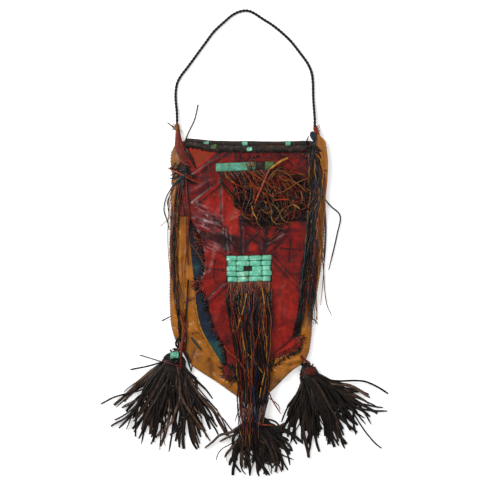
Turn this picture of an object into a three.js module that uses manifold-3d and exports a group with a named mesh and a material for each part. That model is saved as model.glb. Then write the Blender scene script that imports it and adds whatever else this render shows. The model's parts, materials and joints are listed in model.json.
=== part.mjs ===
// A flat leather saddle bag with tassels, lying on its back. Millimetres, +Z up.
// The origin is on the underside of the back panel, behind the middle of the plaque, and +Y runs to the mouth.
import * as THREE from "three";
import { mergeVertices } from "three/addons/utils/BufferGeometryUtils.js";
import Module from "manifold-3d";

const wasm = await Module();
wasm.setup();

// Leather thicknesses, the pocket between front and back, and the gap kept between stacked layers.
const HIDE = 1.6;
const PANEL = 1.4;
const TRIM = 1.0;
const POCKET = 9.0;
const GAP = 0.3;

// The bag's outline: half-widths to the left and right of the middle, [height, x], from mouth to tip.
const BACK_TOP = 219.5;
const FRONT_TOP = 211.5;
const TIP = -224.5;
const BODY_LEFT = [
  [222.5, -118], [211, -127], [153, -131], [68, -134.5], [-8.5, -135], [-68, -134.5], [-102, -131],
  [-122.5, -124], [-139.5, -114], [-163, -97], [TIP + 34, -56], [TIP + 7, -17], [TIP, -5],
];
const BODY_RIGHT = [
  [222.5, 119], [211, 125], [187, 129], [136, 131], [85, 129], [13.5, 124], [-37.5, 116], [-71.5, 109.5],
  [-119, 105.5], [-144.5, 100.5], [-158, 93], [-170, 76], [TIP + 37.5, 58], [TIP + 15.5, 35.5], [TIP, 14],
];
const ROLL = 16;
const SKIN_ROWS = 22;
const ROW_CROWDING = 1.35;

// The dyed front panel and the border strips that show beside it.
const PANEL_TOP = 209;
const PANEL_TIP = -188;
const PANEL_LEFT = [
  [PANEL_TOP, -105.5], [93.5, -105.5], [80, -97], [51, -83.5], [17, -76.5], [-8.5, -78], [-29, -85], [-47.5, -74],
  [-71.5, -66.5], [-95, -59.5], [-120.5, -42.5], [-149.5, -22], [PANEL_TIP + 11, -13], [PANEL_TIP, -5],
];
const PANEL_RIGHT = [
  [PANEL_TOP, 103.5], [93.5, 103.5], [59.5, 100.5], [22, 95], [-25.5, 90], [-59.5, 86.5], [-93.5, 80], [-118, 71],
  [-138.5, 46], [-150, 29], [PANEL_TIP + 14.5, 20], [PANEL_TIP, 12],
];
const PANEL_ROWS = 22;
const PANEL_COLUMNS = 12;
const UNDERLAP = 5;
const LEFT_BORDER_EDGE = [
  [88, -103.5], [51, -100.5], [13.5, -97], [-29, -92], [-68, -88.5], [-102, -80], [-136, -61], [-160, -46],
];
const LEFT_BORDER_CUTS = [88, 24, -38, -160];
const RIGHT_BORDER_EDGE = [[82, 110.5], [34, 109], [-25.5, 103.5], [-76.5, 93.5], [-113, 86]];
const RIGHT_TRIM_EDGE = [[-114, 90], [-129, 88], [-139.5, 70], [-148, 47.5], [-152, 36]];
const LEFT_TRIM = [[-46, -161], [-16, -161], [-8, -186], [-26, -190], [-40, -178]];
const RIGHT_TRIM_DARK = [
  [90, -131], [92.5, -137], [75, -149], [52, -156], [37, -165], [24, -179], [20, -175], [31, -158], [47.5, -150],
  [70.5, -141.5],
];

// Long creases that stand up from the front panel, as [x, y] to [x, y].
const CREASE = 1.4;
const CREASE_SPREAD = 9;
const CREASES = [
  [[-84, 112], [-45, 60]],
  [[-46, 128], [-40, 48]],
  [[-84, 66], [-50, 34]],
  [[62, -30], [52, -92]],
];

// Edge binding of the mouth, and the small inlaid tabs on it.
const BINDING_WIDTH = 7.5;
const BINDING_LIP = 1.2;
const BINDING_LEFT = -108;
const BINDING_RIGHT = 106;
const TAB_SIZE = [9, 7];
const FRONT_TABS = [-59.5, 1];
const BACK_TABS = [-73, -7, 66.5];

// The bar across the top of the front, wrapped in three colours, and its fringe.
const BAR_HEIGHT = 14.5;
const BAR_DEPTH = 6.5;
const BAR_START = -56;
const BAR_Y = 177;
const BAR_LENGTHS = [68, 15, 16];
const UPPER_FRINGE = { thongs: 14, middle: [42, 142], reach: 61, from: 215, to: 385 };

// The woven plaque in the middle of the front.
const PLAQUE_WIDTH = 75;
const PLAQUE_HEIGHT = 45;
const PLAQUE_BACKING = 1.2;
const PLAQUE_ROWS = 5;
const PLAQUE_CELLS = 4;
const PLAQUE_TOP = 25;
const STRIP_THICKNESS = 1.0;
const STRIP_CROWN = 1.4;
const WINDOW = [-8.5, 5];

// Thongs of the fringes.
const THONG_WIDTH = 2.6;
const THONG_THICKNESS = 1.8;
const ROOT_HEIGHT = 4;
const PLAQUE_FRINGE = { thongs: 13, end: -297 };
const LEFT_FRINGE = { thongs: 7, top: 164, end: -112, offset: 9, spread: 13 };
const RIGHT_FRINGE = { thongs: 8, top: 196, end: -104, offset: 9, spread: 19 };

// The hanging strap beside the front panel, on the left.
const STRAP_TOP = 168;
const STRAP_END = 92;
const STRAP_WIDTH = 13;
const STRAP_THICKNESS = 1.6;

// The carrying cord, from the left tab round to the right one. Its points lie on the surface below the bag's mouth.
const CORD_DIAMETER = 4.2;
const CORD_SIDES = 8;
const CORD_STEPS = 44;
const CORD_END_HEIGHT = 6.5;
const TAB_THICKNESS = 4;
const WHIPPING_LENGTH = 9;
const WHIPPING_WALL = 1.6;
const LEFT_CORD_END = [-122.5, 243];
const RIGHT_CORD_END = [112, 241.5];
const CORD_ROUTE = [
  [-122.5, 256.5], [-123, 270], [-124.5, 284], [-125, 302.5], [-122.5, 318], [-116.5, 330], [-103.5, 347],
  [-90, 365.5], [-75, 386], [-59.5, 406.5], [-42.5, 422.5], [-29, 434], [-15.5, 440.5], [-3.5, 442], [6, 439],
  [25.5, 426.5], [39, 418], [56, 404.5], [71.5, 389.5], [86.5, 370.5], [100.5, 351], [107, 335], [109, 318],
  [109.5, 294], [111, 270], [112, 255],
];

// Tassels: where each hangs beside the bag's edge, how it is turned, and its fan of strips.
const TIE_RADIUS = 2.6;
const TIE_CLEARANCE = 0.4;
const TIE_WIDTH = 5;
const TIE_STANDOFF = 11;
const RING_WALL = 2.6;
const RING_BOTTOM = 3;
const RING_HEIGHT = 3;
const HEAD_DEPTH = 8.5;
const HEAD_BEVEL = 1.5;
const NECK_LENGTH = 9;
const NECK_WIDTH = 8;
const STRIP_WIDTH = 6;
const STRIP_DEPTH = 2.6;
const STRIP_LAYERS = 3;
const LAYER_STEP = 2.4;
const TASSELS = {
  left: { at: -141, aim: 50, tieLength: 24, turn: -12, head: [20, 36, 17], fan: [-52, 55], strips: 25, length: 128 },
  right: { at: -160, aim: 135, tieLength: 20, turn: 20, head: [16, 24, 14], fan: [-34, 54], strips: 23, length: 122 },
  bottom: { at: 7, aim: 92, tieLength: 26, turn: 6, head: [18, 26, 13], fan: [-32, 38], strips: 21, length: 92 },
};
const TURQUOISE_BINDING = [14, 8];
const RED_BINDING = [20, 7];
const BINDING_DEPTH = 1.2;

// Heights of the stacked layers, from the surface that the bag lies on.
const backTop = HIDE;
const seamHeight = backTop + GAP;
const pocketTop = backTop + POCKET;
const skinTop = pocketTop + HIDE;
const trimBottom = skinTop + GAP;
const panelBottom = trimBottom + TRIM + GAP;
const panelTop = panelBottom + PANEL;
const dressBottom = panelTop + GAP;
const bindingTop = dressBottom + BINDING_LIP;
const strapTop = skinTop + GAP + STRAP_THICKNESS;
const tabTop = skinTop + GAP + TAB_THICKNESS;
const tieTop = skinTop + GAP + THONG_THICKNESS;
const looseBottom = panelTop + CREASE + GAP;

const COLOURS = {
  tan: 0xa8661f, red: 0x8c241c, dark: 0x2a2422, blue: 0x17364a, turquoise: 0x58c4a4, green: 0x4c8f62, ochre: 0xb07a30,
  strip: 0x2b211c, thong: 0x5d2a1e,
};

function leather(colour, roughness = 0.6) {
  return new THREE.MeshStandardMaterial({ color: COLOURS[colour], roughness, metalness: 0 });
}

const bag = new THREE.Group();

function add(name, geometry, colour, parent = bag) {
  const mesh = new THREE.Mesh(geometry, leather(colour));
  mesh.name = name;
  parent.add(mesh);
  return mesh;
}

// Booleans on closed meshes.
function solidOf(geometry) {
  const bare = geometry.clone();
  bare.deleteAttribute("normal");
  bare.deleteAttribute("uv");
  const merged = mergeVertices(bare, 1e-4);
  return new wasm.Manifold(
    new wasm.Mesh({
      numProp: 3,
      vertProperties: merged.attributes.position.array,
      triVerts: new Uint32Array(merged.index.array),
    }),
  );
}

function joined(geometries) {
  const whole = geometries.map(solidOf).reduce((sum, next) => sum.add(next));
  const mesh = whole.getMesh();
  return new THREE.BufferGeometry()
    .setAttribute("position", new THREE.BufferAttribute(mesh.vertProperties, 3))
    .setIndex(new THREE.BufferAttribute(mesh.triVerts, 1));
}

// An edge line as a function of height: straight or gently curved between its points.
function edgeLine(points) {
  const slope = (i) => {
    const before = points[Math.max(i - 1, 0)];
    const after = points[Math.min(i + 1, points.length - 1)];
    return (after[1] - before[1]) / (after[0] - before[0]);
  };
  return (y) => {
    const last = points.length - 2;
    const found = points.findIndex((p, i) => i <= last && y >= points[i + 1][0]);
    const i = found < 0 ? last : found;
    const [y0, x0] = points[i];
    const [y1, x1] = points[i + 1];
    const span = y1 - y0;
    const t = THREE.MathUtils.clamp((y - y0) / span, 0, 1);
    const ease = t * t * (3 - 2 * t);
    const pull = t * (1 - t) * span;
    return x0 + (x1 - x0) * ease + pull * ((1 - t) * slope(i) - t * slope(i + 1));
  };
}

const bodyLeft = edgeLine(BODY_LEFT);
const bodyRight = edgeLine(BODY_RIGHT);
const panelLeft = edgeLine(PANEL_LEFT);
const panelRight = edgeLine(PANEL_RIGHT);

// A closed sheet over a grid: over(u, v) and under(u, v) give points of its two faces, u across and v down.
function closedSheet(columns, rows, over, under) {
  const points = [];
  for (const face of [over, under]) {
    for (let j = 0; j <= rows; j++) {
      for (let i = 0; i <= columns; i++) {
        points.push(...face(i, j));
      }
    }
  }
  const below = (columns + 1) * (rows + 1);
  const at = (i, j) => j * (columns + 1) + i;
  const index = [];
  for (let j = 0; j < rows; j++) {
    for (let i = 0; i < columns; i++) {
      const [a, b, c, d] = [at(i, j), at(i + 1, j), at(i + 1, j + 1), at(i, j + 1)];
      index.push(a, d, b, b, d, c);
      index.push(below + a, below + b, below + d, below + b, below + c, below + d);
    }
  }
  const rim = [];
  for (let j = 0; j < rows; j++) rim.push(at(0, j));
  for (let i = 0; i < columns; i++) rim.push(at(i, rows));
  for (let j = rows; j > 0; j--) rim.push(at(columns, j));
  for (let i = columns; i > 0; i--) rim.push(at(i, 0));
  rim.forEach((p, k) => {
    const q = rim[(k + 1) % rim.length];
    index.push(below + p, below + q, q, below + p, q, p);
  });
  return new THREE.BufferGeometry()
    .setAttribute("position", new THREE.Float32BufferAttribute(points, 3))
    .setIndex(index);
}

// A flat sheet between two edge lines.
function flatSheet(left, right, top, bottom, rows, columns, low, high) {
  const face = (height) => (i, j) => {
    const y = top + ((bottom - top) * j) / rows;
    const x = left(y) + ((right(y) - left(y)) * i) / columns;
    return [x, y, typeof height === "function" ? height(x, y) : height];
  };
  return closedSheet(columns, rows, face(high), face(low));
}

// A flat piece cut to an outline.
function cutPiece(outline, low, thickness) {
  const shape = new THREE.Shape(outline.map(([x, y]) => new THREE.Vector2(x, y)));
  return new THREE.ExtrudeGeometry(shape, { depth: thickness, bevelEnabled: false }).translate(0, 0, low);
}

function block(width, height, depth, x, y, z) {
  return new THREE.BoxGeometry(width, height, depth).translate(x, y, z);
}

// A flat thong or strap along points [x, y, z], whose width may change from end to end.
function thong(points, width, thickness, steps) {
  const curve = new THREE.CatmullRomCurve3(points.map((p) => new THREE.Vector3(...p)));
  const up = new THREE.Vector3(0, 0, 1);
  const widthAt = typeof width === "function" ? width : () => width;
  const corners = [[-1, -1], [1, -1], [1, 1], [-1, 1]];
  const positions = [];
  for (let i = 0; i <= steps; i++) {
    const middle = curve.getPoint(i / steps);
    const side = curve.getTangent(i / steps).cross(up).normalize();
    for (const [across, rise] of corners) {
      const corner = middle.clone().addScaledVector(side, (across * widthAt(i / steps)) / 2);
      positions.push(corner.x, corner.y, corner.z + (rise * thickness) / 2);
    }
  }
  const index = [0, 1, 2, 0, 2, 3];
  for (let i = 0; i < steps; i++) {
    for (let k = 0; k < 4; k++) {
      const [a, d] = [4 * i + k, 4 * i + ((k + 1) % 4)];
      index.push(a, a + 4, d + 4, a, d + 4, d);
    }
  }
  const end = 4 * steps;
  index.push(end, end + 2, end + 1, end, end + 3, end + 2);
  return new THREE.BufferGeometry()
    .setAttribute("position", new THREE.Float32BufferAttribute(positions, 3))
    .setIndex(index);
}

// Height of a row of the bag's hides: rows crowd together towards the tip, where the outline turns.
function skinRow(top, j) {
  return top + (TIP - top) * (1 - (1 - j / SKIN_ROWS) ** ROW_CROWDING);
}

// The back panel, cut to the bag's outline.
function backPanel() {
  const heights = Array.from({ length: SKIN_ROWS + 1 }, (_, j) => skinRow(BACK_TOP, j));
  const left = heights.map((y) => [bodyLeft(y), y]);
  const right = heights.map((y) => [bodyRight(y), y]);
  add("back_panel", cutPiece([...left, ...right.reverse()], 0, HIDE), "tan");
}

// The front skin: flat over the pocket, rolled down to the back panel at both sides and the tip, open at the mouth.
function frontSkin() {
  const shares = [0, 0.08, 0.3, 0.65, 1];
  const middleColumns = 5;
  const columns = 2 * (shares.length - 1) + middleColumns;
  const across = (i, y) => {
    const [left, right] = [bodyLeft(y), bodyRight(y)];
    const roll = Math.min(ROLL, 0.4 * (right - left));
    if (i < shares.length) return left + roll * shares[i];
    if (i > columns - shares.length) return right - roll * shares[columns - i];
    const t = (i - shares.length + 1) / middleColumns;
    return left + roll + t * (right - left - 2 * roll);
  };
  const rounded = (distance, radius) => {
    const t = THREE.MathUtils.clamp(distance / radius, 0, 1);
    return Math.sqrt(1 - (1 - t) ** 2);
  };
  const rise = (x, y) => {
    const [left, right] = [bodyLeft(y), bodyRight(y)];
    const roll = Math.min(ROLL, 0.4 * (right - left));
    return Math.min(rounded(x - left, roll), rounded(right - x, roll)) * rounded(y - TIP, ROLL);
  };
  const face = (lift) => (i, j) => {
    const y = skinRow(FRONT_TOP, j);
    const x = across(i, y);
    return [x, y, seamHeight + rise(x, y) * (pocketTop - seamHeight) + lift];
  };
  add("front_skin", closedSheet(columns, SKIN_ROWS, face(HIDE), face(0)), "tan");
}

// The dyed front panel, with its creases standing up.
function frontPanel() {
  const creases = CREASES.map(([a, b]) => new THREE.Line3(new THREE.Vector3(...a), new THREE.Vector3(...b)));
  const nearest = new THREE.Vector3();
  const high = (x, y) => {
    const point = new THREE.Vector3(x, y, 0);
    const lifts = creases.map((line) => {
      const away = line.closestPointToPoint(point, true, nearest).distanceTo(point);
      return Math.exp(-((away / CREASE_SPREAD) ** 2));
    });
    return panelTop + CREASE * Math.max(...lifts);
  };
  const geometry = flatSheet(
    panelLeft, panelRight, PANEL_TOP, PANEL_TIP, PANEL_ROWS, PANEL_COLUMNS, panelBottom, high,
  );
  add("front_panel", geometry, "red");
}

// Border strips that lie between the front skin and the edge of the front panel.
function borders() {
  const outer = edgeLine(LEFT_BORDER_EDGE);
  const names = ["left_border_top", "left_border_middle", "left_border_lower"];
  const colours = ["dark", "blue", "blue"];
  names.forEach((name, k) => {
    const [top, bottom] = [LEFT_BORDER_CUTS[k], LEFT_BORDER_CUTS[k + 1] + GAP];
    const inner = (y) => panelLeft(y) + UNDERLAP;
    const strip = flatSheet(outer, inner, top, bottom, 6, 1, trimBottom, trimBottom + TRIM);
    add(name, strip, colours[k]);
  });
  const under = (y) => panelRight(y) - UNDERLAP;
  const rightEdge = edgeLine(RIGHT_BORDER_EDGE);
  const [rightTop, rightBottom] = [RIGHT_BORDER_EDGE[0][0], RIGHT_BORDER_EDGE.at(-1)[0]];
  const right = flatSheet(under, rightEdge, rightTop, rightBottom + GAP, 8, 1, trimBottom, trimBottom + TRIM);
  add("right_border", right, "dark");
  const trimEdge = edgeLine(RIGHT_TRIM_EDGE);
  const [trimTop, trimEnd] = [RIGHT_TRIM_EDGE[0][0], RIGHT_TRIM_EDGE.at(-1)[0]];
  const trim = flatSheet(under, trimEdge, trimTop, trimEnd, 8, 1, trimBottom, trimBottom + TRIM);
  add("right_trim_red", trim, "red");
  add("right_trim_dark", cutPiece(RIGHT_TRIM_DARK, trimBottom, TRIM), "dark");
  add("left_trim", cutPiece(LEFT_TRIM, trimBottom, TRIM), "red");
}

// Binding of the mouth: an angle over the front edge, and a strip and an angle on the back edge.
function mouth() {
  const length = BINDING_RIGHT - BINDING_LEFT;
  const middle = (BINDING_LEFT + BINDING_RIGHT) / 2;
  const lipY = FRONT_TOP + GAP + BINDING_LIP / 2;
  const frontEnd = FRONT_TOP + GAP + BINDING_LIP;
  const frontLength = frontEnd - (PANEL_TOP - BINDING_WIDTH);
  const front = [
    block(length, frontLength, BINDING_LIP, middle, frontEnd - frontLength / 2, dressBottom + BINDING_LIP / 2),
    block(length, BINDING_LIP, bindingTop - pocketTop, middle, lipY, (bindingTop + pocketTop) / 2),
  ];
  add("mouth_binding_front", joined(front), "dark");
  const backLow = backTop + GAP;
  const back = [
    block(length, BINDING_WIDTH, BINDING_LIP, middle, BACK_TOP - BINDING_WIDTH / 2, backLow + BINDING_LIP / 2),
    block(length, BINDING_LIP + GAP, backLow + BINDING_LIP, middle, BACK_TOP + (BINDING_LIP + GAP) / 2 + GAP,
      (backLow + BINDING_LIP) / 2),
    block(length, 2 * GAP, BINDING_LIP, middle, BACK_TOP + GAP, backLow + BINDING_LIP / 2),
  ];
  add("mouth_binding_back", joined(back), "dark");
  const [tabWidth, tabHeight] = TAB_SIZE;
  FRONT_TABS.forEach((x, k) => {
    const y = frontEnd - frontLength / 2;
    add(`front_tab_${k + 1}`, block(tabWidth, tabHeight, TRIM, x, y, bindingTop + GAP + TRIM / 2), "turquoise");
  });
  BACK_TABS.forEach((x, k) => {
    const [y, z] = [BACK_TOP - tabHeight / 2 + BINDING_LIP, backLow + BINDING_LIP + GAP + TRIM / 2];
    add(`back_tab_${k + 1}`, block(tabWidth, tabHeight, TRIM, x, y, z), "turquoise");
  });
}

// The wrapped bar, a roll of flat oval section in three lengths.
function headerBar() {
  const half = (BAR_HEIGHT - BAR_DEPTH) / 2;
  const section = new THREE.Shape();
  section.absarc(half, BAR_DEPTH / 2, BAR_DEPTH / 2, -Math.PI / 2, Math.PI / 2, false);
  section.absarc(-half, BAR_DEPTH / 2, BAR_DEPTH / 2, Math.PI / 2, (3 * Math.PI) / 2, false);
  const alongX = new THREE.Matrix4().makeBasis(
    new THREE.Vector3(0, 1, 0), new THREE.Vector3(0, 0, 1), new THREE.Vector3(1, 0, 0),
  );
  let start = BAR_START;
  const wraps = [["bar_turquoise", "turquoise"], ["bar_dark", "dark"], ["bar_green", "green"]];
  wraps.forEach(([name, colour], k) => {
    const options = { depth: BAR_LENGTHS[k] - GAP, bevelEnabled: false, curveSegments: 6 };
    const roll = new THREE.ExtrudeGeometry(section, options).applyMatrix4(alongX);
    add(name, roll.translate(start, BAR_Y, dressBottom), colour);
    start += BAR_LENGTHS[k];
  });
}

// The tangled fringe below the bar, spread as a fan.
function upperFringe() {
  const { thongs, middle, reach, from, to } = UPPER_FRINGE;
  const barLength = BAR_LENGTHS.reduce((sum, next) => sum + next);
  const rootY = BAR_Y - BAR_HEIGHT / 2 - GAP - ROOT_HEIGHT / 2;
  const low = looseBottom + THONG_THICKNESS / 2;
  const rootWidth = barLength - 2 * THONG_WIDTH;
  const rootZ = (dressBottom + looseBottom + 2 * THONG_THICKNESS) / 2;
  const rootDepth = looseBottom + 2 * THONG_THICKNESS - dressBottom;
  const pieces = [block(rootWidth, ROOT_HEIGHT, rootDepth, BAR_START + barLength / 2, rootY, rootZ)];
  for (let k = 0; k < thongs; k++) {
    const t = k / (thongs - 1);
    const turn = THREE.MathUtils.degToRad(from + (to - from) * t);
    const radius = reach * (1 - 0.12 * (k % 3));
    const end = [middle[0] + radius * Math.cos(turn), middle[1] + radius * Math.sin(turn)];
    const root = [BAR_START + THONG_WIDTH * 2 + (rootWidth - THONG_WIDTH * 2) * t, rootY];
    const z = low + (k % 2) * THONG_THICKNESS * 0.8;
    const bow = [(root[0] + end[0]) / 2 - 8 * Math.sin(k * 1.7), (root[1] + end[1]) / 2 - 6];
    pieces.push(thong([[...root, z], [...bow, z], [...end, z]], THONG_WIDTH, THONG_THICKNESS, 5));
  }
  add("upper_fringe", joined(pieces), "thong");
}

// The plaque: a dark backing and five crowned strips, each pinched into cells; the middle strip leaves a window.
function plaque() {
  const middleY = PLAQUE_TOP - PLAQUE_HEIGHT / 2;
  add("plaque_backing", block(PLAQUE_WIDTH, PLAQUE_HEIGHT, PLAQUE_BACKING, 0, middleY,
    dressBottom + PLAQUE_BACKING / 2), "dark");
  const pitch = PLAQUE_HEIGHT / PLAQUE_ROWS;
  const low = dressBottom + PLAQUE_BACKING + GAP;
  const cell = PLAQUE_WIDTH / PLAQUE_CELLS;
  const strip = (name, from, to, row) => {
    const top = PLAQUE_TOP - row * pitch - GAP;
    const columns = Math.round(((to - from) / cell) * 4);
    const crown = (x, y) => {
      const across = Math.sin(Math.PI * ((top - y) / (pitch - 2 * GAP)));
      const pinch = Math.abs(Math.sin(Math.PI * ((x + PLAQUE_WIDTH / 2) / cell)));
      return low + STRIP_THICKNESS + STRIP_CROWN * Math.max(across, 0) * Math.sqrt(pinch);
    };
    const left = () => from;
    const right = () => to;
    add(name, flatSheet(left, right, top, top - pitch + 2 * GAP, 4, columns, low, crown), "turquoise");
  };
  const half = PLAQUE_WIDTH / 2 - GAP;
  for (let row = 0; row < PLAQUE_ROWS; row++) {
    if (row === (PLAQUE_ROWS - 1) / 2) {
      strip(`plaque_strip_${row + 1}_left`, -half, WINDOW[0], row);
      strip(`plaque_strip_${row + 1}_right`, WINDOW[1], half, row);
    } else {
      strip(`plaque_strip_${row + 1}`, -half, half, row);
    }
  }
}

// The long fringe below the plaque: it runs down the front, over the tip and onto the bottom tassel.
function plaqueFringe() {
  const { thongs, end } = PLAQUE_FRINGE;
  const rootY = PLAQUE_TOP - PLAQUE_HEIGHT - GAP - ROOT_HEIGHT / 2;
  const low = looseBottom + THONG_THICKNESS / 2;
  const overTie = tieTop + GAP + THONG_THICKNESS / 2;
  const restOnTassel = HEAD_DEPTH + GAP + THONG_THICKNESS / 2;
  const rootWidth = PLAQUE_WIDTH - 4 * THONG_WIDTH;
  const rootDepth = looseBottom + 2 * THONG_THICKNESS - dressBottom;
  const pieces = [block(rootWidth, ROOT_HEIGHT, rootDepth, 0, rootY, dressBottom + rootDepth / 2)];
  for (let k = 0; k < thongs; k++) {
    const t = k / (thongs - 1);
    const lift = (k % 2) * THONG_THICKNESS * 0.8;
    const sway = 3 * Math.sin(2.1 * k);
    const across = (from, to) => from + (to - from) * t;
    const x0 = across(-rootWidth / 2 + THONG_WIDTH / 2, rootWidth / 2 - THONG_WIDTH / 2);
    pieces.push(thong([
      [x0, rootY, low + lift],
      [across(-26, 30) + sway, -75, low + lift],
      [across(-18, 27) - sway, -140, low + lift],
      [across(-16, 26) + sway, TIP + 20, low + lift],
      [across(-13, 29), TIP - TIE_STANDOFF - TIE_WIDTH, overTie + lift],
      [across(-11, 32), end + 8 * Math.sin(1.3 * k), restOnTassel + lift],
    ], THONG_WIDTH, THONG_THICKNESS, 8));
  }
  add("plaque_fringe", joined(pieces), "thong");
}

// Side fringes, knotted at the top and lying down beside the front panel.
function sideFringe(name, spec, edge, towards, seat, bottom) {
  const { thongs, top, end, offset, spread } = spec;
  const low = bottom + THONG_THICKNESS / 2;
  const middle = edge(top) + towards * (offset + spread / 2);
  const knotTop = bottom + 2 * THONG_THICKNESS;
  const pieces = [block(spread + THONG_WIDTH, ROOT_HEIGHT, knotTop - seat, middle, top, (knotTop + seat) / 2)];
  for (let k = 0; k < thongs; k++) {
    const inset = offset + (spread * k) / (thongs - 1);
    const stop = end + 26 * Math.abs(Math.sin(1.9 * k));
    const points = [0, 0.25, 0.5, 0.75, 1].map((t) => {
      const y = top + (stop - top) * t;
      const sway = t ? 2.5 * Math.sin(2.3 * k + 5 * t) : 0;
      return [edge(y) + towards * (inset + sway), y, low + (k % 2) * THONG_THICKNESS * 0.8];
    });
    pieces.push(thong(points, THONG_WIDTH, THONG_THICKNESS, 7));
  }
  add(name, joined(pieces), "thong");
}

// A red strap that hangs beside the front panel, under the left fringe.
function hangingStrap() {
  const middle = (panelLeft(STRAP_TOP) + bodyLeft(STRAP_TOP) + ROLL) / 2 - STRAP_WIDTH / 4;
  const z = strapTop - STRAP_THICKNESS / 2;
  const points = [[middle, STRAP_TOP, z], [middle - 1, (STRAP_TOP + STRAP_END) / 2, z], [middle + 1, STRAP_END, z]];
  add("hanging_strap", thong(points, (t) => STRAP_WIDTH * (1 - 0.3 * t), STRAP_THICKNESS, 5), "red");
}

// The cord tabs, the cord's whippings and the carrying cord.
function carryingCord() {
  const overBinding = bindingTop + GAP + TAB_THICKNESS / 2;
  const [leftX, leftY] = LEFT_CORD_END;
  const [rightX, rightY] = RIGHT_CORD_END;
  const leftTab = [
    [leftX, leftY, CORD_END_HEIGHT], [leftX, leftY - 14, CORD_END_HEIGHT + 5], [leftX + 4, FRONT_TOP + 3, overBinding],
    [leftX + 12, FRONT_TOP - 11, overBinding], [leftX + 29, FRONT_TOP - 38, overBinding],
  ];
  const taper = (first, middle, last) => (t) =>
    t < 0.5 ? first + (middle - first) * 2 * t : middle + (last - middle) * (2 * t - 1);
  add("left_cord_tab", thong(leftTab, taper(7, 15, 5), TAB_THICKNESS, 10), "red");
  const overSkin = tabTop - TAB_THICKNESS / 2;
  const rightTab = [
    [rightX, rightY, CORD_END_HEIGHT], [rightX, rightY - 10, CORD_END_HEIGHT + 3],
    [rightX + 5, FRONT_TOP - 2, overSkin], [rightX + 6, FRONT_TOP - 22, overSkin],
  ];
  add("right_cord_tab", thong(rightTab, taper(6, 11, 12), TAB_THICKNESS, 8), "tan");
  const leaf = [
    [BINDING_RIGHT - 2, FRONT_TOP - 6, bindingTop + GAP + TRIM / 2],
    [BINDING_RIGHT - 3, FRONT_TOP + 8, bindingTop + GAP + TRIM / 2], [BINDING_RIGHT - 3, FRONT_TOP + 23, bindingTop],
  ];
  add("blue_tab", thong(leaf, (t) => 3 + 7 * Math.sin(Math.PI * (0.15 + 0.75 * t)), TRIM, 6), "blue");

  const radius = CORD_DIAMETER / 2;
  const whipping = (name, x, y) => {
    const ring = new THREE.Shape().absarc(0, 0, radius + GAP + WHIPPING_WALL, 0, 2 * Math.PI);
    ring.holes.push(new THREE.Path().absarc(0, 0, radius + GAP, 0, 2 * Math.PI, true));
    const tube = new THREE.ExtrudeGeometry(ring, { depth: WHIPPING_LENGTH, bevelEnabled: false, curveSegments: 5 });
    add(name, tube.rotateX(-Math.PI / 2).translate(x, y + GAP, CORD_END_HEIGHT), "ochre");
  };
  whipping("left_cord_whipping", leftX, leftY);
  whipping("right_cord_whipping", rightX, rightY);

  const straight = WHIPPING_LENGTH + 2 * GAP;
  const settle = 45;
  const route = CORD_ROUTE.map(([x, y]) => {
    const beyond = Math.max(y - Math.max(leftY, rightY) - straight, 0);
    const t = THREE.MathUtils.smoothstep(beyond, 0, settle);
    return new THREE.Vector3(x, y, CORD_END_HEIGHT + (radius - CORD_END_HEIGHT) * t);
  });
  const end = (x, y) => [0.3, 6].map((ahead) => new THREE.Vector3(x, y + ahead, CORD_END_HEIGHT));
  const points = [...end(leftX, leftY), ...route, ...end(rightX, rightY).reverse()];
  const section = new THREE.Shape();
  for (let k = 0; k < CORD_SIDES; k++) {
    const turn = (2 * Math.PI * k) / CORD_SIDES;
    const corner = [radius * Math.cos(turn), radius * Math.sin(turn)];
    if (k) section.lineTo(...corner);
    else section.moveTo(...corner);
  }
  const path = new THREE.CatmullRomCurve3(points);
  add("handle_cord", new THREE.ExtrudeGeometry(section, { steps: CORD_STEPS, extrudePath: path }), "dark");
}

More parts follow.
